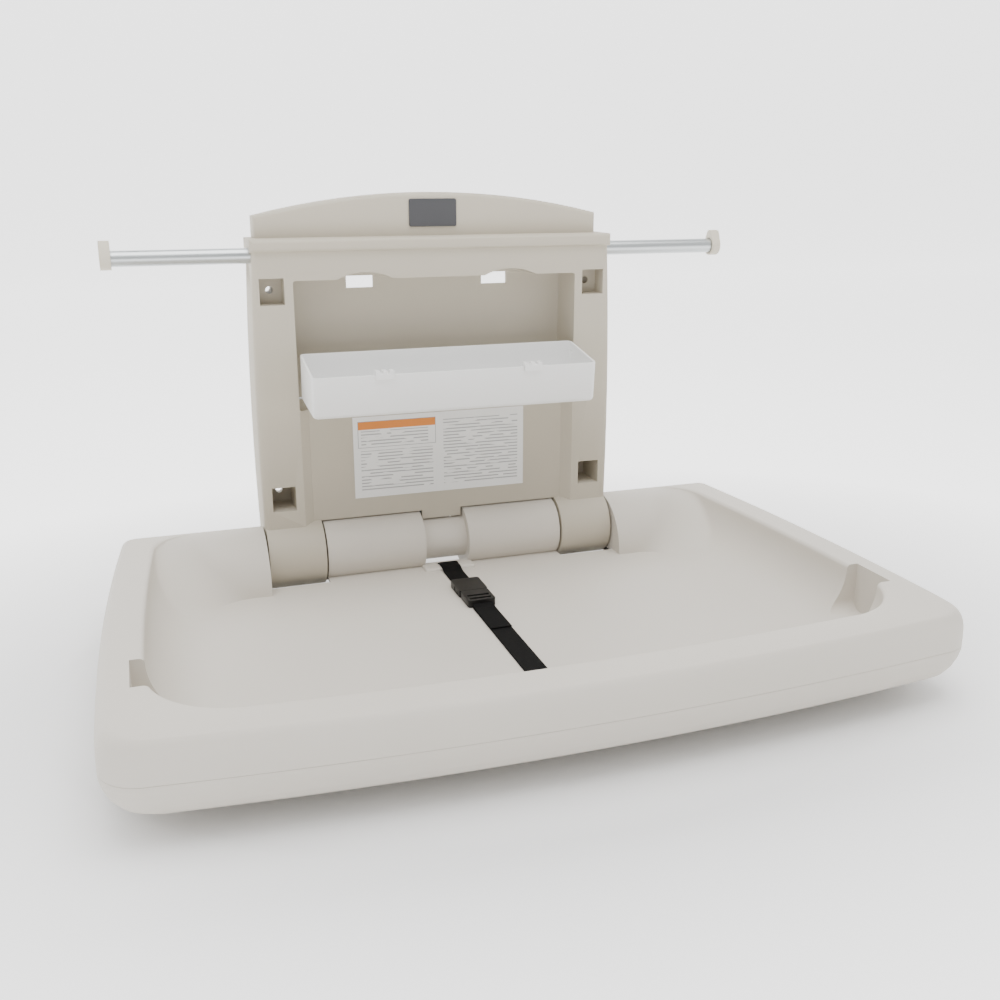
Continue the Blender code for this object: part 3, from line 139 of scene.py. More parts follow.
# Strap
STRAP_WIDTH = 0.025
STRAP_THICK = 0.0014
STRAP_SLOT_Y = -0.0745
STRAP_FRONT_SLOT_Y = -0.470
STRAP_SLOT_HALF_LENGTH = 0.0025
STRAP_SLOT_MARGIN = 0.002
STRAP_SLOT_BOTTOM_Z = -0.045
STRAP_REAR_END_Z = -0.034
STRAP_FRONT_END_Z = -0.0390
SELVEDGE_WIDTH = 0.0016
PAD_HALF_WIDTH = 0.0335
PAD_FRONT_Y = -0.092
PAD_RISE = 0.0035
PAD_EDGE_ROUND = 0.003

# Finishes
PLASTIC_GRAIN = 1500.0
METAL_RELIEF = 0.00002

# Camera
CAMERA_PLACE = (-0.359, -1.343, 0.460)
CAMERA_FORWARD = (0.3084, 0.9058, -0.2907)
CAMERA_LENS = 38.52
CAMERA_SENSOR = 36.0

# Stage: a floor that sweeps up at +Y, and the oval under the object where its glow fades
FLOOR_DROP = 0.002
FLOOR_REACH = 14.0
FLOOR_SWEEP_Y = 4.0
FLOOR_SWEEP = 3.0
FLOOR_HEIGHT = 9.0
GLOW_SHIFT_Y = 0.28
GLOW_SQUEEZE = (1.15, 1.5)
GLOW_START = 0.55
GLOW_RISE = 1.6
GLOW_STRENGTH = 1.6
SURROUND_STRENGTH = 0.80

# Area lights: name, place, power and width
LIGHTS_AIM = (0.0, -0.25, 0.1)
LIGHTS = (
    ("key", (-1.1, -1.3, 1.9), 14.0, 1.6),
    ("fill", (1.9, -1.6, 1.1), 4.0, 1.8),
    ("top", (0.1, -0.5, 2.4), 60.0, 2.0),
)


# ---------------------------------------------------------------- shader maths


class Value:
    """A socket whose arithmetic adds Math nodes."""

    def __init__(self, finish, socket):
        self.finish, self.socket = finish, socket

    def maths(self, operation, *others):
        inputs = {0: self, **dict(enumerate(others, 1))}
        return self.finish.node("ShaderNodeMath", {"operation": operation}, inputs)

    def __add__(self, other):
        return self.maths("ADD", other)

    def __sub__(self, other):
        return self.maths("SUBTRACT", other)

    def __rsub__(self, other):
        return self.finish.node("ShaderNodeMath", {"operation": "SUBTRACT"}, {0: other, 1: self})

    def __mul__(self, other):
        return self.maths("MULTIPLY", other)

    def __lt__(self, other):
        return self.maths("LESS_THAN", other)

    def __gt__(self, other):
        return self.maths("GREATER_THAN", other)

    def __abs__(self):
        return self.maths("ABSOLUTE")

    def wave(self, pitch):
        """A sine that repeats every pitch metres, from -1 to 1."""
        return (self * (2 * math.pi / pitch)).maths("SINE")


class Finish:
    """A procedural material round one Principled shader."""

    def __init__(self, name, roughness, metallic=0.0):
        self.material = bpy.data.materials.new(name)
        self.material.use_nodes = True
        self.tree = self.material.node_tree
        self.shader = self.tree.nodes["Principled BSDF"]
        self.shader.inputs["Roughness"].default_value = roughness
        self.shader.inputs["Metallic"].default_value = metallic

    def node(self, kind, settings=None, inputs=None, output=0):
        """One node: its settings first, then the values or links of its sockets."""
        node = self.tree.nodes.new(kind)
        for key, value in (settings or {}).items():
            setattr(node, key, value)
        for key, value in (inputs or {}).items():
            self.feed(node.inputs[key], value)
        return Value(self, node.outputs[output])

    def feed(self, socket, value):
        if isinstance(value, Value):
            self.tree.links.new(value.socket, socket)
        else:
            socket.default_value = value

    def place(self):
        return self.node("ShaderNodeTexCoord", output="Object")

    def axes(self):
        split = self.node("ShaderNodeSeparateXYZ", inputs={0: self.place()}).socket.node
        return [Value(self, split.outputs[i]) for i in range(3)]

    def noise(self, scale, detail=2.0, stretch=(1, 1, 1)):
        """Noise of that many cells a metre. stretch above 1 squeezes it along an axis."""
        spread = self.node("ShaderNodeMapping", inputs={"Vector": self.place(), "Scale": stretch})
        return self.node("ShaderNodeTexNoise", inputs={"Vector": spread, "Scale": scale, "Detail": detail})

    def mix(self, share, first, second):
        settings = {"data_type": "RGBA"}
        return self.node("ShaderNodeMix", settings, {0: share, 6: tone(first), 7: tone(second)}, output=2)

    def colour(self, value):
        self.feed(self.shader.inputs["Base Color"], value)

    def rough(self, value):
        self.feed(self.shader.inputs["Roughness"], value)

    def bump(self, height, depth):
        """Relief of that depth in metres where height goes from 0 to 1."""
        relief = self.node("ShaderNodeBump", inputs={"Strength": 1.0, "Distance": depth, "Height": height})
        self.feed(self.shader.inputs["Normal"], relief)


def tone(colour):
    return colour if isinstance(colour, Value) else (*colour, 1.0)


def shade(colour, factor):
    return tuple(min(channel * factor, 1.0) for channel in colour)


# ---------------------------------------------------------------- finishes


def moulded_plastic(name, colour, roughness, depth=0.00004, specular=0.5):
    """Moulded plastic: a fine even grain, cloudy colour and gloss, and faint scuffs."""
    finish = Finish(name, roughness)
    finish.shader.inputs["Specular IOR Level"].default_value = specular
    cloud = finish.noise(7.0, 3.0)
    scuff = finish.noise(60.0, 5.0, (1, 1, 3))
    toned = finish.mix(cloud, shade(colour, 0.965), shade(colour, 1.03))
    scuffed = scuff.maths("MULTIPLY_ADD", 6.0, -3.75).maths("MINIMUM", 1.0).maths("MAXIMUM", 0.0)
    finish.colour(finish.mix(scuffed * 0.10, toned, shade(colour, 0.86)))
    finish.rough(cloud * 0.08 + (roughness - 0.04) + scuffed * 0.05)
    finish.bump(finish.noise(PLASTIC_GRAIN, 1.0), depth)
    return finish.material


def drawn_metal(name, colour, roughness, stretch):
    """Metal with fine lines along the axis that stretch leaves long."""
    finish = Finish(name, roughness, 1.0)
    lines = finish.noise(900.0, 2.0, stretch)
    cloud = finish.noise(14.0, 3.0)
    finish.colour(finish.mix(lines, shade(colour, 0.93), shade(colour, 1.05)))
    finish.rough(lines * 0.14 + cloud * 0.08 + (roughness - 0.11))
    finish.bump(lines, METAL_RELIEF)
    return finish.material


def strap_webbing():
    """Black webbing: warp ribs along the strap, crossed by picks, with denser selvedges."""
    finish = Finish("strap_webbing", 0.85)
    across, along, _ = finish.axes()
    warp = across.wave(0.0016) * 0.5 + 0.5
    pick = (along + across.wave(0.0032) * 0.00035).wave(0.0013) * 0.5 + 0.5
    weave = warp * pick
    edge = abs(across) > STRAP_WIDTH / 2 - SELVEDGE_WIDTH
    fibre = finish.noise(2600.0, 2.0)
    base = finish.mix(weave, (0.002, 0.002, 0.002), (0.010, 0.0095, 0.009))
    finish.colour(finish.mix(edge * 0.5, base, (0.004, 0.004, 0.004)))
    finish.rough(fibre * 0.15 + 0.72)
    finish.bump(weave * 0.8 + fibre * 0.2, 0.00018)
    finish.shader.inputs["Specular IOR Level"].default_value = 0.12
    return finish.material


def label_sheet():
    """White sticker: a thin grey outline, one plain band and two columns of ruled lines, no lettering."""
    finish = Finish("label_sheet", 0.42)
    x, _, z = finish.axes()
    low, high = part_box("label")
    middle, half = (low.x + high.x) / 2, (high.x - low.x) / 2
    margin, line = 0.006, 0.0006

    def within(value, near, far):
        return (value > near) * (value < far)

    def panel(left, right, bottom, top):
        return within(x, left, right) * within(z, bottom, top)

    left, right = middle - half + margin, middle - margin
    top = high.z - margin
    frame_outer = panel(left, right, top - 0.034, top)
    frame_inner = panel(left + line, right - line, top - 0.0334, top - line)
    outline = frame_outer * (1 - frame_inner)
    band = panel(left + line, right - line, top - 0.0105, top - line)
    ruled = (z.wave(0.0042) > 0.45) * 1.0
    broken = finish.noise(70.0, 0.0, (1, 1, 4)) > 0.40
    left_column = panel(left + 0.003, right - 0.004, low.z + 0.008, top - 0.038)
    under_band = panel(left + 0.004, right - 0.010, top - 0.0315, top - 0.0125)
    right_column = panel(middle + 0.004, middle + half - 0.008, low.z + 0.008, top - 0.004)
    lines = (left_column + under_band + right_column).maths("MINIMUM", 1.0) * ruled * broken
    paper = finish.mix(finish.noise(12.0), (0.80, 0.80, 0.79), (0.86, 0.86, 0.85))
    printed = finish.mix(lines * 0.75, paper, (0.22, 0.22, 0.23))
    printed = finish.mix(outline, printed, (0.25, 0.25, 0.26))
    finish.colour(finish.mix(band, printed, (0.68, 0.21, 0.015)))
    finish.rough(finish.noise(90.0) * 0.1 + 0.36)
    return finish.material


# ---------------------------------------------------------------- surfaces


def mesh_from(name, points, faces):
    mesh = bpy.data.meshes.new(name)
    mesh.from_pydata(np.asarray(points, float).tolist(), [], faces)
    mesh.update()
    return mesh


def grid_faces(rows, columns):
    """Quads of a grid whose columns close on themselves."""
    i, j = np.meshgrid(np.arange(rows - 1), np.arange(columns), indexing="ij")
    k = (j + 1) % columns
    corners = (i * columns + j, i * columns + k, (i + 1) * columns + k, (i + 1) * columns + j)
    return np.stack(corners, axis=-1).reshape(-1, 4).tolist()


def add(name, mesh):
    piece = bpy.data.objects.new(name, mesh)
    bpy.context.scene.collection.objects.link(piece)
    return piece


def outward(mesh):
    """Merges doubles and turns the faces of a closed mesh outwards."""
    shape = bmesh.new()
    shape.from_mesh(mesh)
    bmesh.ops.remove_doubles(shape, verts=shape.verts, dist=0.00001)
    bmesh.ops.recalc_face_normals(shape, faces=shape.faces)
    shape.to_mesh(mesh)
    shape.free()
    return mesh


def arc(centre, radius, start_deg, end_deg, steps):
    """Points at an even turn on an arc: centre plus radius times (cos, sin)."""
    turn = np.radians(np.linspace(start_deg, end_deg, steps + 1))
    points = np.column_stack([centre[0] + radius * np.cos(turn), centre[1] + radius * np.sin(turn)])
    return [tuple(point) for point in points]


def prism(name, outline, axis, low, high):
    """A flat outline carried along X or Y. The outline is (y, z) for X and (x, z) for Y."""
    flat = np.array(outline)
    count = len(flat)
    ends = []
    for value in (low, high):
        level = np.full(count, value)
        columns = (level, flat[:, 0], flat[:, 1]) if axis == "X" else (flat[:, 0], level, flat[:, 1])
        ends.append(np.column_stack(columns))
    faces = [list(range(count)), list(range(2 * count - 1, count - 1, -1))]
    faces += [[i, (i + 1) % count, count + (i + 1) % count, count + i] for i in range(count)]
    return outward(mesh_from(name, np.vstack(ends), faces))


def block(name, low, high):
    outline = [(low[1], low[2]), (high[1], low[2]), (high[1], high[2]), (low[1], high[2])]
    return prism(name, outline, "X", low[0], high[0])


def rod(name, centre, radius, low, high, sides=64):
    """A round bar along X about centre (y, z)."""
    return prism(name, arc(centre, radius, 0, 360 - 360 / sides, sides - 1), "X", low, high)


def combine(piece, mesh, operation, inside=None):
    """Cuts or joins mesh at once, first trimmed to inside where it is given."""
    tool = add("tool", mesh)
    if inside is not None:
        trim = tool.modifiers.new("trim", "BOOLEAN")
        trim.operation = "INTERSECT"
        trim.object = inside
        trim.solver = "MANIFOLD"
        settle(tool)
    before = extent(piece, tool)
    change = piece.modifiers.new("change", "BOOLEAN")
    change.operation = operation
    change.object = tool
    change.solver = "MANIFOLD"
    settle(piece)
    if not len(piece.data.polygons):
        raise ValueError(f"{piece.name}: the {operation} with {mesh.name} left nothing")
    reach = extent(piece)
    if (reach[0] < before[0] - GAP).any() or (reach[1] > before[1] + GAP).any():
        raise ValueError(f"{piece.name}: the {operation} with {mesh.name} broke the mesh")
    bpy.data.objects.remove(tool, do_unlink=True)


def extent(*pieces):
    """Lowest and highest corner of these meshes together."""
    lows, highs = [], []
    for piece in pieces:
        points = np.zeros(len(piece.data.vertices) * 3, np.float32)
        piece.data.vertices.foreach_get("co", points)
        points = points.reshape(-1, 3)
        if len(points):
            lows.append(points.min(0))
            highs.append(points.max(0))
    return np.min(lows, axis=0), np.max(highs, axis=0)


def settle(piece):
    """Applies a piece's modifiers to its mesh."""
    bpy.context.view_layer.update()
    graph = bpy.context.evaluated_depsgraph_get()
    piece.data = bpy.data.meshes.new_from_object(piece.evaluated_get(graph))
    piece.modifiers.clear()


def span(side, near, far):
    return sorted((side * near, side * far))


def soften(piece, width, segments=3, angle_deg=38):
    """Rounds the sharp edges and shades the rest smooth."""
    bevel = piece.modifiers.new("edges", "BEVEL")
    bevel.width = width
    bevel.segments = segments
    bevel.limit_method = "ANGLE"
    bevel.angle_limit = math.radians(angle_deg)
    bevel.use_clamp_overlap = True
    piece.data.shade_smooth()
    piece.data.set_sharp_from_angle(angle=math.radians(angle_deg))


def copy_of(node, name):
    """A merged copy of a frame piece, with its flat stretches made whole again."""
    source = frame["nodes"][node].data.copy()
    shape = bmesh.new()
    shape.from_mesh(source)
    bmesh.ops.remove_doubles(shape, verts=shape.verts, dist=0.00001)
    bmesh.ops.dissolve_limit(shape, angle_limit=0.002, verts=shape.verts, edges=shape.edges)
    shape.to_mesh(source)
    shape.free()
    source.materials.clear()
    return add(name, source)


def stand_for(piece, node, body, material):
    piece.data.materials.clear()
    piece.data.materials.append(material)
    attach(piece, body)
    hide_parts(node)


# ---------------------------------------------------------------- bed


def side_half_width(y):
    """Half width swells as a parabola from the rear to the widest place."""
    share = (y - BED_WIDEST_Y) / (BED_REAR_Y - BED_WIDEST_Y)
    return BED_HALF_WIDTH - (BED_HALF_WIDTH - BED_REAR_HALF_WIDTH) * share**2


def front_y(x):
    """The front edge bows as a parabola."""
    return BED_FRONT_Y + BED_FRONT_BOW * (x / BOW_AT_X) ** 2


def plan_ring(side_inset, front_inset, rear_inset, front_radius, rear_radius):
    """One closed ring of (x, y), and how far each point belongs to the rear, from 0 to 1.

    It runs along the rear line, a small arc, the swelling side, an arc and the bowed front, then mirrored.
    """
    rear_y = BED_REAR_Y - rear_inset
    rear_x = side_half_width(rear_y - rear_radius) - side_inset - rear_radius
    corner_x = side_half_width(BED_FRONT_Y + front_radius) - side_inset - front_radius
    corner_y = front_y(corner_x) + front_inset + front_radius
    rear = np.linspace(0.0, rear_x, 25)[:-1]
    turn = np.linspace(0.5 * math.pi, 0.0, 13)
    sides = np.linspace(rear_y - rear_radius, corner_y, 37)[1:-1]
    corner = np.linspace(0.0, -0.5 * math.pi, 25)
    bow = np.linspace(corner_x, 0.0, 31)[1:]
    x = np.concatenate([
        rear,
        rear_x + rear_radius * np.cos(turn),
        side_half_width(sides) - side_inset,
        corner_x + front_radius * np.cos(corner),
        bow,
    ])
    y = np.concatenate([
        np.full(len(rear), rear_y),
        rear_y - rear_radius + rear_radius * np.sin(turn),
        sides,
        corner_y + front_radius * np.sin(corner),
        front_y(bow) + front_inset,
    ])
    beyond = np.zeros(len(sides) + len(corner) + len(bow))
    share = np.concatenate([np.ones(len(rear)), np.linspace(1, 0, len(turn)), beyond])
    whole_x = np.concatenate([x, -x[-2:0:-1]])
    whole_y = np.concatenate([y, y[-2:0:-1]])
    return np.column_stack([whole_x, whole_y]), np.concatenate([share, share[-2:0:-1]])


def lofted(name, rings, cap_looks_up, both_ends=False):
    """A surface through closed rings, closed at its last ring or at both ends."""
    count = len(rings[0])
    faces = grid_faces(len(rings), count)
    if both_ends:
        faces.append(list(range(count))[::-1])
    last = (len(rings) - 1) * count
    faces.append(list(range(last, last + count)))
    mesh = mesh_from(name, np.vstack(rings), faces)
    if (mesh.polygons[-1].normal.z > 0) != cap_looks_up:
        mesh.flip_normals()
    return in_triangles(mesh)


def in_triangles(mesh):
    """Splits the slightly twisted quads, which a Boolean can't take."""
    shape = bmesh.new()
    shape.from_mesh(mesh)
    bmesh.ops.triangulate(shape, faces=shape.faces)
    shape.to_mesh(mesh)
    shape.free()
    return mesh


def tray_rings():
    """Up the outer wall with z = sin(t)^0.8 and inset (1 - cos t)^1.4, then down the hollow to the floor.

    A quarter circle rounds the rim's inner edge at the sides and front. The rear runs level there instead.
    """
    rings = []
    for turn in np.linspace(0.0, 0.5 * math.pi, 17):
        share = (1 - math.cos(turn)) ** 1.4
        z = PARTING_Z + (RIM_Z - PARTING_Z) * math.sin(turn) ** 0.8
        ring, _ = plan_ring(
            RIM_ROUND_SIDE * share,
            RIM_ROUND_FRONT * share,
            RIM_ROUND_REAR * share,
            BED_CORNER_RADIUS,
            BED_REAR_CORNER_RADIUS,
        )
        rings.append(np.column_stack([ring, np.full(len(ring), z)]))
    for turn in np.linspace(0.0, 0.5 * math.pi, 7)[:-1]:
        back = RIM_INNER_ROUND * (1 - math.sin(turn))
        drop = RIM_INNER_ROUND * (1 - math.cos(turn))
        ring, rear = plan_ring(
            BASIN_SIDE_INSET - back,
            BASIN_FRONT_INSET - back,
            BASIN_REAR_INSET - 0.5 * back,
            BASIN_CORNER_RADIUS,
            BASIN_REAR_CORNER_RADIUS,
        )
        rings.append(np.column_stack([ring, RIM_Z - (1 - rear) * drop]))
    for turn in np.linspace(0.0, 0.5 * math.pi, 21):
        hollow, rise = 1 - math.cos(turn), math.sin(turn)
        ring, rear = plan_ring(
            BASIN_SIDE_INSET + BASIN_SIDE_HOLLOW * hollow,
            BASIN_FRONT_INSET + BASIN_FRONT_HOLLOW * hollow,
            BASIN_REAR_INSET + BASIN_REAR_SLOPE * rise,
            BASIN_CORNER_RADIUS,
            BASIN_REAR_CORNER_RADIUS + BASIN_REAR_CORNER_GROWTH * rise,
        )
        wall = RIM_INNER_ROUND + (RIM_Z - FLOOR_Z - RIM_INNER_ROUND) * rise
        z = RIM_Z - (1 - rear) * wall - rear * (RIM_Z - FLOOR_Z) * hollow
        rings.append(np.column_stack([ring, z]))
    return rings


def base_rings():
    """Outer face from the parting line down and over a shallow dome, led up to by its inner face.

    The inner face is the same profile moved in square to itself by the wall's thickness.
    """
    s = np.linspace(0.0, 1.0, 14)[1:]
    edge_inset, edge_depth = BASE_EDGE_INSETS[-1], BASE_EDGE_DEPTHS[-1]
    t = np.linspace(0.0, len(BASE_EDGE_INSETS) - 1, 25)
    steps = np.arange(len(BASE_EDGE_INSETS))
    insets = np.concatenate([np.interp(t, steps, BASE_EDGE_INSETS), edge_inset + BASE_DOME_REACH * s])
    depths = np.concatenate([
        np.interp(t, steps, BASE_EDGE_DEPTHS),
        edge_depth + (BASE_DEPTH - edge_depth) * (1 - (1 - s) ** 2),
    ])
    run, fall = np.gradient(insets), np.gradient(depths)
    length = np.hypot(run, fall)
    inner_insets = insets + BED_SKIN * fall / length
    inner_depths = np.maximum(depths - BED_SKIN * run / length, 0.0)
    profile = list(zip(inner_insets, inner_depths))[::-1] + list(zip(insets, depths))
    rings = []
    for inset, depth in profile:
        radius = max(BED_CORNER_RADIUS - 0.1 * inset, 0.020)
        ring, _ = plan_ring(inset, inset, inset / 2, radius, BED_REAR_CORNER_RADIUS)
        rings.append(np.column_stack([ring, np.full(len(ring), PARTING_Z - GAP - depth)]))
    return rings


def thicken(piece):
    """Gives a surface the bed's wall, on its inner side."""
    wall = piece.modifiers.new("wall", "SOLIDIFY")
    wall.thickness = BED_SKIN
    wall.offset = -1.0
    wall.use_even_offset = True
    settle(piece)


def notch_outline(margin, low_z, top_z):
    """The notch along X: upright sides and round bottom corners."""
    near = HINGE_Y - (BAR_Z - NOTCH_NEAR_MARGIN) + margin
    far = HINGE_Y - (BAR_Z + NOTCH_FAR_MARGIN) - margin
    radius = NOTCH_CORNER_RADIUS + margin
    low = low_z - margin
    points = arc((near - radius, low + radius), radius, 0, -90, 12)
    points += arc((far + radius, low + radius), radius, -90, -180, 12)
    return points + [(far, top_z), (near, top_z)]


def tray_core():
    """The tray's outer surface, moved in by half its wall and closed below. It trims what is built inside."""
    rings = tray_rings()
    below = rings[0].copy()
    below[:, 2] = CORE_BOTTOM_Z
    count = len(below)
    mesh = lofted("tray_core", [below, *rings], True)
    shape = bmesh.new()
    shape.from_mesh(mesh)
    shape.verts.ensure_lookup_table()
    shape.faces.new([shape.verts[i] for i in range(count)])
    bmesh.ops.recalc_face_normals(shape, faces=shape.faces)
    bmesh.ops.triangulate(shape, faces=shape.faces)
    shape.normal_update()
    places = [vert.co - vert.normal * BED_SKIN / 2 for vert in shape.verts]
    for vert, place in zip(shape.verts, places):
        vert.co = place
    shape.to_mesh(mesh)
    shape.free()
    return add("tray_core", mesh)


def tray_shell(material):
    tray = add("tray_shell", lofted("tray_shell", tray_rings(), True))
    thicken(tray)
    pocket_x = PANEL_KNUCKLE_OUTER_X + HINGE_GAP
    rear_floor_y = BED_REAR_Y - BASIN_REAR_INSET - BASIN_REAR_SLOPE
    room_low = (-pocket_x, rear_floor_y - 0.002, -CUT_REACH_FAR)
    combine(tray, block("room", room_low, (pocket_x, CUT_REACH, CUT_REACH_FAR)), "DIFFERENCE")
    turn = np.radians(np.linspace(90, 0, 25))
    slope_y = BED_REAR_Y - BASIN_REAR_INSET - BASIN_REAR_SLOPE * np.sin(turn)
    slope_z = RIM_Z - (RIM_Z - FLOOR_Z) * (1 - np.cos(turn)) - 0.001
    cheek = [tuple(point) for point in np.column_stack([slope_y, slope_z])]
    cheek += [(BED_REAR_Y - 0.008, RIM_Z - 0.001), (BED_REAR_Y - 0.0042, PARTING_Z + 0.02)]
    cheek += [(BED_REAR_Y - 0.0042, -0.008), (BED_REAR_Y - 0.016, FLOOR_Z - BED_SKIN + 0.001)]
    cheek += [(rear_floor_y, FLOOR_Z - BED_SKIN + 0.001)]
    for _, side in SIDES:
        low, high = span(side, pocket_x + 2 * GAP, pocket_x + BED_SKIN)
        combine(tray, prism("cheek", cheek, "X", low, high), "UNION")
    floor_low = (-pocket_x - 0.001, rear_floor_y - 0.004, FLOOR_Z - BED_SKIN - GAP)
    floor_high = (pocket_x + 0.001, HINGE_Y - CHANNEL_RADIUS + 0.006, FLOOR_Z)
    combine(tray, block("floor", floor_low, floor_high), "UNION")
    knuckle_x = PANEL_KNUCKLE_INNER_X - HINGE_GAP
    for _, side in SIDES:
        low, high = span(side, CHANNEL_HALF_WIDTH, knuckle_x + HINGE_GAP / 2)
        combine(tray, rod("knuckle", (HINGE_Y, 0.0), BED_KNUCKLE_RADIUS, low, high, 128), "UNION")
    cover = arc((HINGE_Y, 0.0), CHANNEL_RADIUS, *CHANNEL_SWEEP_DEG, 40)
    cover += arc((HINGE_Y, 0.0), CHANNEL_RADIUS - BED_SKIN - 0.0005, *CHANNEL_SWEEP_DEG[::-1], 40)
    cover_x = CHANNEL_HALF_WIDTH + 0.002
    combine(tray, prism("cover", cover, "X", -cover_x, cover_x), "UNION")
    combine(tray, strap_pad(), "UNION")
    for _, side in SIDES:
        low, high = span(side, knuckle_x, pocket_x)
        rear = HINGE_Y - PANEL_KNUCKLE_RADIUS - HINGE_GAP
        pocket = block("pocket", (low, rear, -CUT_REACH_FAR), (high, CUT_REACH, CUT_REACH_FAR))
        combine(tray, pocket, "DIFFERENCE")
        low, high = span(side, CHANNEL_HALF_WIDTH - 0.01, knuckle_x + 0.001)
        combine(tray, rod("axle_hole", (HINGE_Y, 0.0), AXLE_HOLE_RADIUS, low, high, 48), "DIFFERENCE")
    core = tray_core()
    floor_z = BAR_Y - HINGE_Y - NOTCH_REACH
    for _, side in SIDES:
        low, high = span(side, NOTCH_HOUSING_INNER_X, NOTCH_OUTER_X + NOTCH_WALL)
        housing = prism("housing", notch_outline(NOTCH_WALL, floor_z, RIM_Z), "X", low, high)
        combine(tray, housing, "UNION", core)
        low, high = span(side, NOTCH_INNER_X, NOTCH_OUTER_X)
        channel = prism("channel", notch_outline(0.0, floor_z, RIM_Z + NOTCH_OVERCUT), "X", low, high)
        combine(tray, channel, "DIFFERENCE")
    bpy.data.objects.remove(core, do_unlink=True)
    half = STRAP_WIDTH / 2 + STRAP_SLOT_MARGIN
    for y in (STRAP_SLOT_Y, STRAP_FRONT_SLOT_Y):
        slot_low = (-half, y - STRAP_SLOT_HALF_LENGTH, STRAP_SLOT_BOTTOM_Z)
        slot_high = (half, y + STRAP_SLOT_HALF_LENGTH, 0.0)
        combine(tray, block("strap_slot", slot_low, slot_high), "DIFFERENCE")
    soften(tray, TRAY_EDGE_ROUND, 3, BED_SHARP_DEG)
    stand_for(tray, "bed_tray", "bed", material)


def strap_pad():
    """The raised pad round the strap slot, with softly rounded sides."""
    low, high = FLOOR_Z - 0.001, FLOOR_Z + PAD_RISE
    back = HINGE_Y - CHANNEL_RADIUS + 0.004
    shape = bmesh.new()
    shape.from_mesh(block("strap_pad", (-PAD_HALF_WIDTH, PAD_FRONT_Y, low), (PAD_HALF_WIDTH, back, high)))
    top = [e for e in shape.edges if all(v.co.z > FLOOR_Z for v in e.verts)]
    upright = [e for e in shape.edges if abs(e.verts[0].co.z - e.verts[1].co.z) > 0.001]
    edges = top + upright
    bmesh.ops.bevel(shape, geom=edges, offset=PAD_EDGE_ROUND, segments=5, profile=0.5, affect="EDGES")
    mesh = bpy.data.meshes.new("strap_pad")
    shape.to_mesh(mesh)
    shape.free()
    return outward(mesh)


def base_shell(material):
    base = add("base_shell", lofted("base_shell", base_rings(), False, True))
    pocket_x = PANEL_KNUCKLE_OUTER_X + HINGE_GAP
    rear = HINGE_Y - PANEL_KNUCKLE_RADIUS - HINGE_GAP
    room = block("room", (-pocket_x, rear, -CUT_REACH_FAR), (pocket_x, CUT_REACH, CUT_REACH))
    combine(base, room, "DIFFERENCE")
    soften(base, BASE_EDGE_ROUND, 2, BED_SHARP_DEG)
    stand_for(base, "bed_base", "bed", material)


# ---------------------------------------------------------------- copies with softened edges


def softened(node, name, body, material, width, segments=3):
    """A copy of a frame piece with rounded edges, shown in its place."""
    piece = copy_of(node, name)
    soften(piece, width, segments)
    stand_for(piece, node, body, material)


def bar_tube(material):
    """Profile (x, radius) turned about the bar's axis, with a small chamfer at both ends."""
    low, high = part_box("grab_bar")
    centre = ((low.y + high.y) / 2, (low.z + high.z) / 2)
    radius, chamfer = (high.z - low.z) / 2, 0.0008
    along = np.array([low.x, low.x + chamfer, high.x - chamfer, high.x])
    radii = np.array([radius - chamfer, radius, radius, radius - chamfer])
    turn = np.linspace(0.0, 2 * math.pi, 97)[:-1]
    x, angle = np.meshgrid(along, turn, indexing="ij")
    spread = np.meshgrid(radii, turn, indexing="ij")[0]
    points = np.stack([x, centre[0] + spread * np.cos(angle), centre[1] + spread * np.sin(angle)], axis=-1)
    faces = grid_faces(len(along), len(turn))
    last = (len(along) - 1) * len(turn)
    faces += [list(range(len(turn))), list(range(last, last + len(turn)))]
    tube = add("bar_tube", outward(mesh_from("bar_tube", points.reshape(-1, 3), faces)))
    tube.data.shade_smooth()
    tube.data.set_sharp_from_angle(angle=math.radians(30))
    stand_for(tube, "grab_bar", "wall_unit", material)


# ---------------------------------------------------------------- strap


def webbing(name, node, path, material):
    """A ribbon along a smoothed path of (y, z): flat in the middle, thinner at its selvedges.

    Across the strap u goes from -1 to 1, and half the thickness is (1 - 0.45 u^8) of the full one.
    """
    path = np.array(path)
    far = np.concatenate([[0.0], np.cumsum(np.linalg.norm(np.diff(path, axis=0), axis=1))])
    even = np.linspace(0.0, far[-1], max(int(far[-1] / 0.0015), 8))
    line = np.column_stack([np.interp(even, far, path[:, 0]), np.interp(even, far, path[:, 1])])
    line[1:-1] = (line[:-2] + 2 * line[1:-1] + line[2:]) / 4
    along = np.gradient(line, axis=0)
    along /= np.linalg.norm(along, axis=1)[:, None]
    up = np.column_stack([-along[:, 1], along[:, 0]])
    up = np.where(up[:, 1:2] < 0, -up, up)
    up[1:] = np.where((up[1:] * up[:-1]).sum(1)[:, None] < 0, -up[1:], up[1:])
    u = np.linspace(-1.0, 1.0, 21)
    half = STRAP_THICK / 2 * (1 - 0.45 * u**8)
    across = np.concatenate([u, u[::-1]]) * STRAP_WIDTH / 2
    height = STRAP_THICK / 2 + np.concatenate([half, -half[::-1]])
    count = len(across)
    points = np.zeros((len(line), count, 3))
    points[:, :, 0] = across
    points[:, :, 1:] = line[:, None, :] + height[None, :, None] * up[:, None, :]
    faces = grid_faces(len(line), count)
    last = (len(line) - 1) * count
    faces += [list(range(count)), list(range(last, last + count))]
    ribbon = add(name, outward(mesh_from(name, points.reshape(-1, 3), faces)))
    ribbon.data.shade_smooth()
    ribbon.data.set_sharp_from_angle(angle=math.radians(50))
    stand_for(ribbon, node, "bed", material)


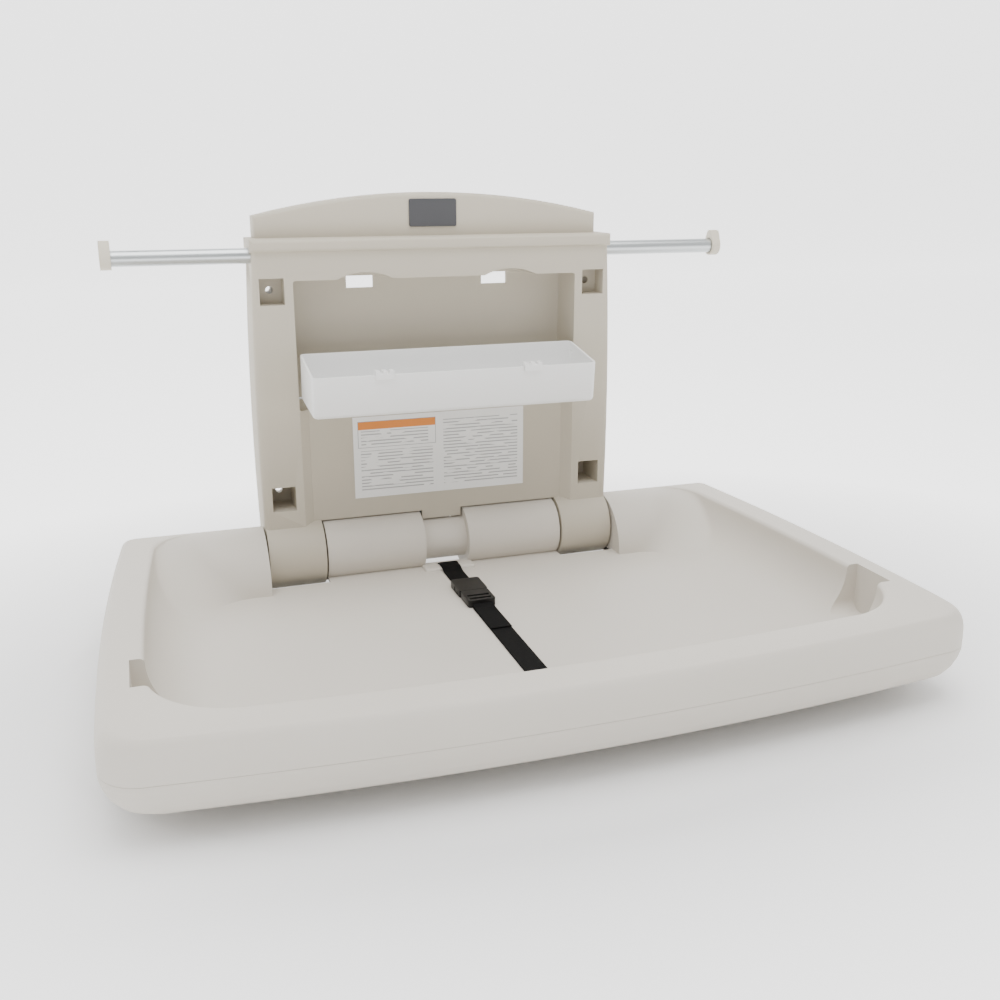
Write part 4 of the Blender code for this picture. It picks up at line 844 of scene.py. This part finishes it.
def straps(material):
    """Three ribbons: slot to buckle over the pad, buckle to the front slot, and the loose tail on top."""
    floor = FLOOR_Z + GAP
    pad_top = FLOOR_Z + PAD_RISE + GAP
    buckle_rear, buckle_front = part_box("buckle_socket")[1].y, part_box("buckle_plug")[0].y
    tail_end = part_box("strap_tail")[0].y
    slot = STRAP_SLOT_Y
    rear = [
        (slot + 0.0008, STRAP_REAR_END_Z),
        (slot + 0.0008, pad_top - 0.001),
        (slot - 0.0005, pad_top + 0.0004),
        (slot - 0.004, pad_top + 0.0003),
        (PAD_FRONT_Y - 0.001, pad_top),
        (PAD_FRONT_Y - 0.010, floor + 0.0004),
        (PAD_FRONT_Y - 0.016, floor),
        (buckle_rear + 0.004, floor),
        (buckle_rear + GAP, floor + 0.001),
    ]
    webbing("webbing_rear", "strap_rear", rear, material)
    slot = STRAP_FRONT_SLOT_Y
    front = [
        (buckle_front - GAP, floor + 0.001),
        (buckle_front - 0.006, floor),
        (slot + 0.0022, floor),
        (slot + 0.0002, floor - 0.0012),
        (slot - 0.0008, floor - 0.004),
        (slot - 0.0008, STRAP_FRONT_END_Z),
    ]
    webbing("webbing_front", "strap_front", front, material)
    lift = floor + STRAP_THICK + GAP
    tail = [
        (buckle_front - GAP, lift + 0.002),
        (buckle_front - 0.008, lift + 0.0005),
        (buckle_front - 0.020, lift),
        (tail_end, lift),
    ]
    webbing("webbing_tail", "strap_tail", tail, material)


# ---------------------------------------------------------------- stage


def studio():
    """A pale floor that sweeps up behind and glows except under the object, with broad soft lights."""
    camera = bpy.data.objects.new("camera", bpy.data.cameras.new("camera"))
    camera.location = CAMERA_PLACE
    camera.rotation_mode = "QUATERNION"
    camera.rotation_quaternion = Vector(CAMERA_FORWARD).to_track_quat("-Z", "Y")
    camera.data.lens = CAMERA_LENS
    camera.data.sensor_width = CAMERA_SENSOR
    bpy.context.scene.collection.objects.link(camera)
    bpy.context.scene.camera = camera

    level = CAD_LOW.z - FLOOR_DROP
    sweep = arc((FLOOR_SWEEP_Y, level + FLOOR_SWEEP), FLOOR_SWEEP, -90, 0, 24)
    profile = [(-FLOOR_REACH, level), *sweep, (FLOOR_SWEEP_Y + FLOOR_SWEEP, level + FLOOR_HEIGHT)]
    points = [(x, y, z) for x in (-FLOOR_REACH, FLOOR_REACH) for y, z in profile]
    count = len(profile)
    faces = [[i, i + count, i + 1 + count, i + 1] for i in range(count - 1)]
    floor = add("floor", mesh_from("floor", points, faces))
    floor.data.shade_smooth()
    pale = Finish("pale_floor", 0.9)
    pale.colour(pale.mix(pale.noise(3.0), (0.93, 0.93, 0.93), (0.95, 0.95, 0.95)))
    across, along, _ = pale.axes()
    across = (across * GLOW_SQUEEZE[0]).maths("POWER", 2.0)
    along = ((along + GLOW_SHIFT_Y) * GLOW_SQUEEZE[1]).maths("POWER", 2.0)
    distance = (across + along).maths("SQRT")
    glow = ((distance - GLOW_START) * GLOW_RISE).maths("MINIMUM", 1.0).maths("MAXIMUM", 0.0)
    pale.feed(pale.shader.inputs["Emission Color"], pale.mix(glow, (0.0, 0.0, 0.0), (1.0, 1.0, 1.0)))
    pale.shader.inputs["Emission Strength"].default_value = GLOW_STRENGTH
    floor.data.materials.append(pale.material)

    world = bpy.data.worlds.new("surround")
    world.use_nodes = True
    background = world.node_tree.nodes["Background"]
    background.inputs["Color"].default_value = (1.0, 1.0, 1.0, 1.0)
    background.inputs["Strength"].default_value = SURROUND_STRENGTH
    bpy.context.scene.world = world
    for name, place, power, width in LIGHTS:
        lamp = bpy.data.lights.new(name, "AREA")
        lamp.energy = power
        lamp.size = width
        light = bpy.data.objects.new(name, lamp)
        light.location = place
        light.rotation_euler = (Vector(LIGHTS_AIM) - Vector(place)).to_track_quat("-Z", "Y").to_euler()
        bpy.context.scene.collection.objects.link(light)


# ---------------------------------------------------------------- the object


def carry_over(finishes):
    """Every frame piece gets its slot's finish, so whatever stays showing is finished too."""
    for part in frame["record"]["subparts"]:
        node = frame["nodes"][part["node"]]
        node.data.materials.clear()
        node.data.materials.append(finishes[part["material_slot"]])


def main():
    finishes = {
        "panel_plastic": moulded_plastic("panel_moulding", (0.50, 0.455, 0.37), 0.55, specular=0.35),
        "bed_plastic": moulded_plastic("bed_moulding", (0.62, 0.58, 0.515), 0.55, specular=0.35),
        "white_plastic": moulded_plastic("bin_moulding", (0.86, 0.86, 0.85), 0.38, depth=0.00002),
        "cap_plastic": moulded_plastic("cap_moulding", (0.62, 0.57, 0.46), 0.48, depth=0.00002),
        "nylon": moulded_plastic("bush_nylon", (0.75, 0.73, 0.68), 0.5),
        "black_plastic": moulded_plastic("damper_moulding", (0.01, 0.01, 0.01), 0.5, specular=0.2),
        "buckle_plastic": moulded_plastic("buckle_moulding", (0.008, 0.0075, 0.007), 0.42, 0.00002, 0.25),
        "badge_plate": moulded_plastic("badge_plate", (0.05, 0.05, 0.055), 0.36, depth=0.00001),
        "aluminium": drawn_metal("bar_aluminium", (0.56, 0.585, 0.59), 0.34, (0.02, 1, 1)),
        "steel": drawn_metal("plated_steel", (0.55, 0.56, 0.57), 0.38, (0.05, 1, 1)),
        "webbing": strap_webbing(),
        "label_stock": label_sheet(),
    }
    carry_over(finishes)
    tray_shell(finishes["bed_plastic"])
    base_shell(finishes["bed_plastic"])
    softened("back_panel", "panel_shell", "wall_unit", finishes["panel_plastic"], 0.0014)
    softened("badge", "badge_face", "wall_unit", finishes["badge_plate"], 0.0004, 2)
    softened("bin", "bin_shell", "bin_body", finishes["white_plastic"], 0.0008)
    buckle = finishes["buckle_plastic"]
    for name, _ in SIDES:
        cap, clip, prong = f"bar_cap_{name}", f"bin_clip_{name}", f"buckle_prong_{name}"
        softened(cap, f"cap_{name}", "wall_unit", finishes["cap_plastic"], 0.0012)
        softened(clip, f"clip_{name}", "bin_body", finishes["white_plastic"], 0.0004, 2)
        softened(prong, f"prong_shape_{name}", f"prong_{name}", buckle, 0.0004, 2)
    softened("buckle_socket", "socket_shape", "bed", buckle, 0.0007)
    softened("buckle_plug", "plug_shape", "bed", buckle, 0.0007)
    bar_tube(finishes["aluminium"])
    straps(finishes["webbing"])


main()
studio()
bpy.context.view_layer.update()
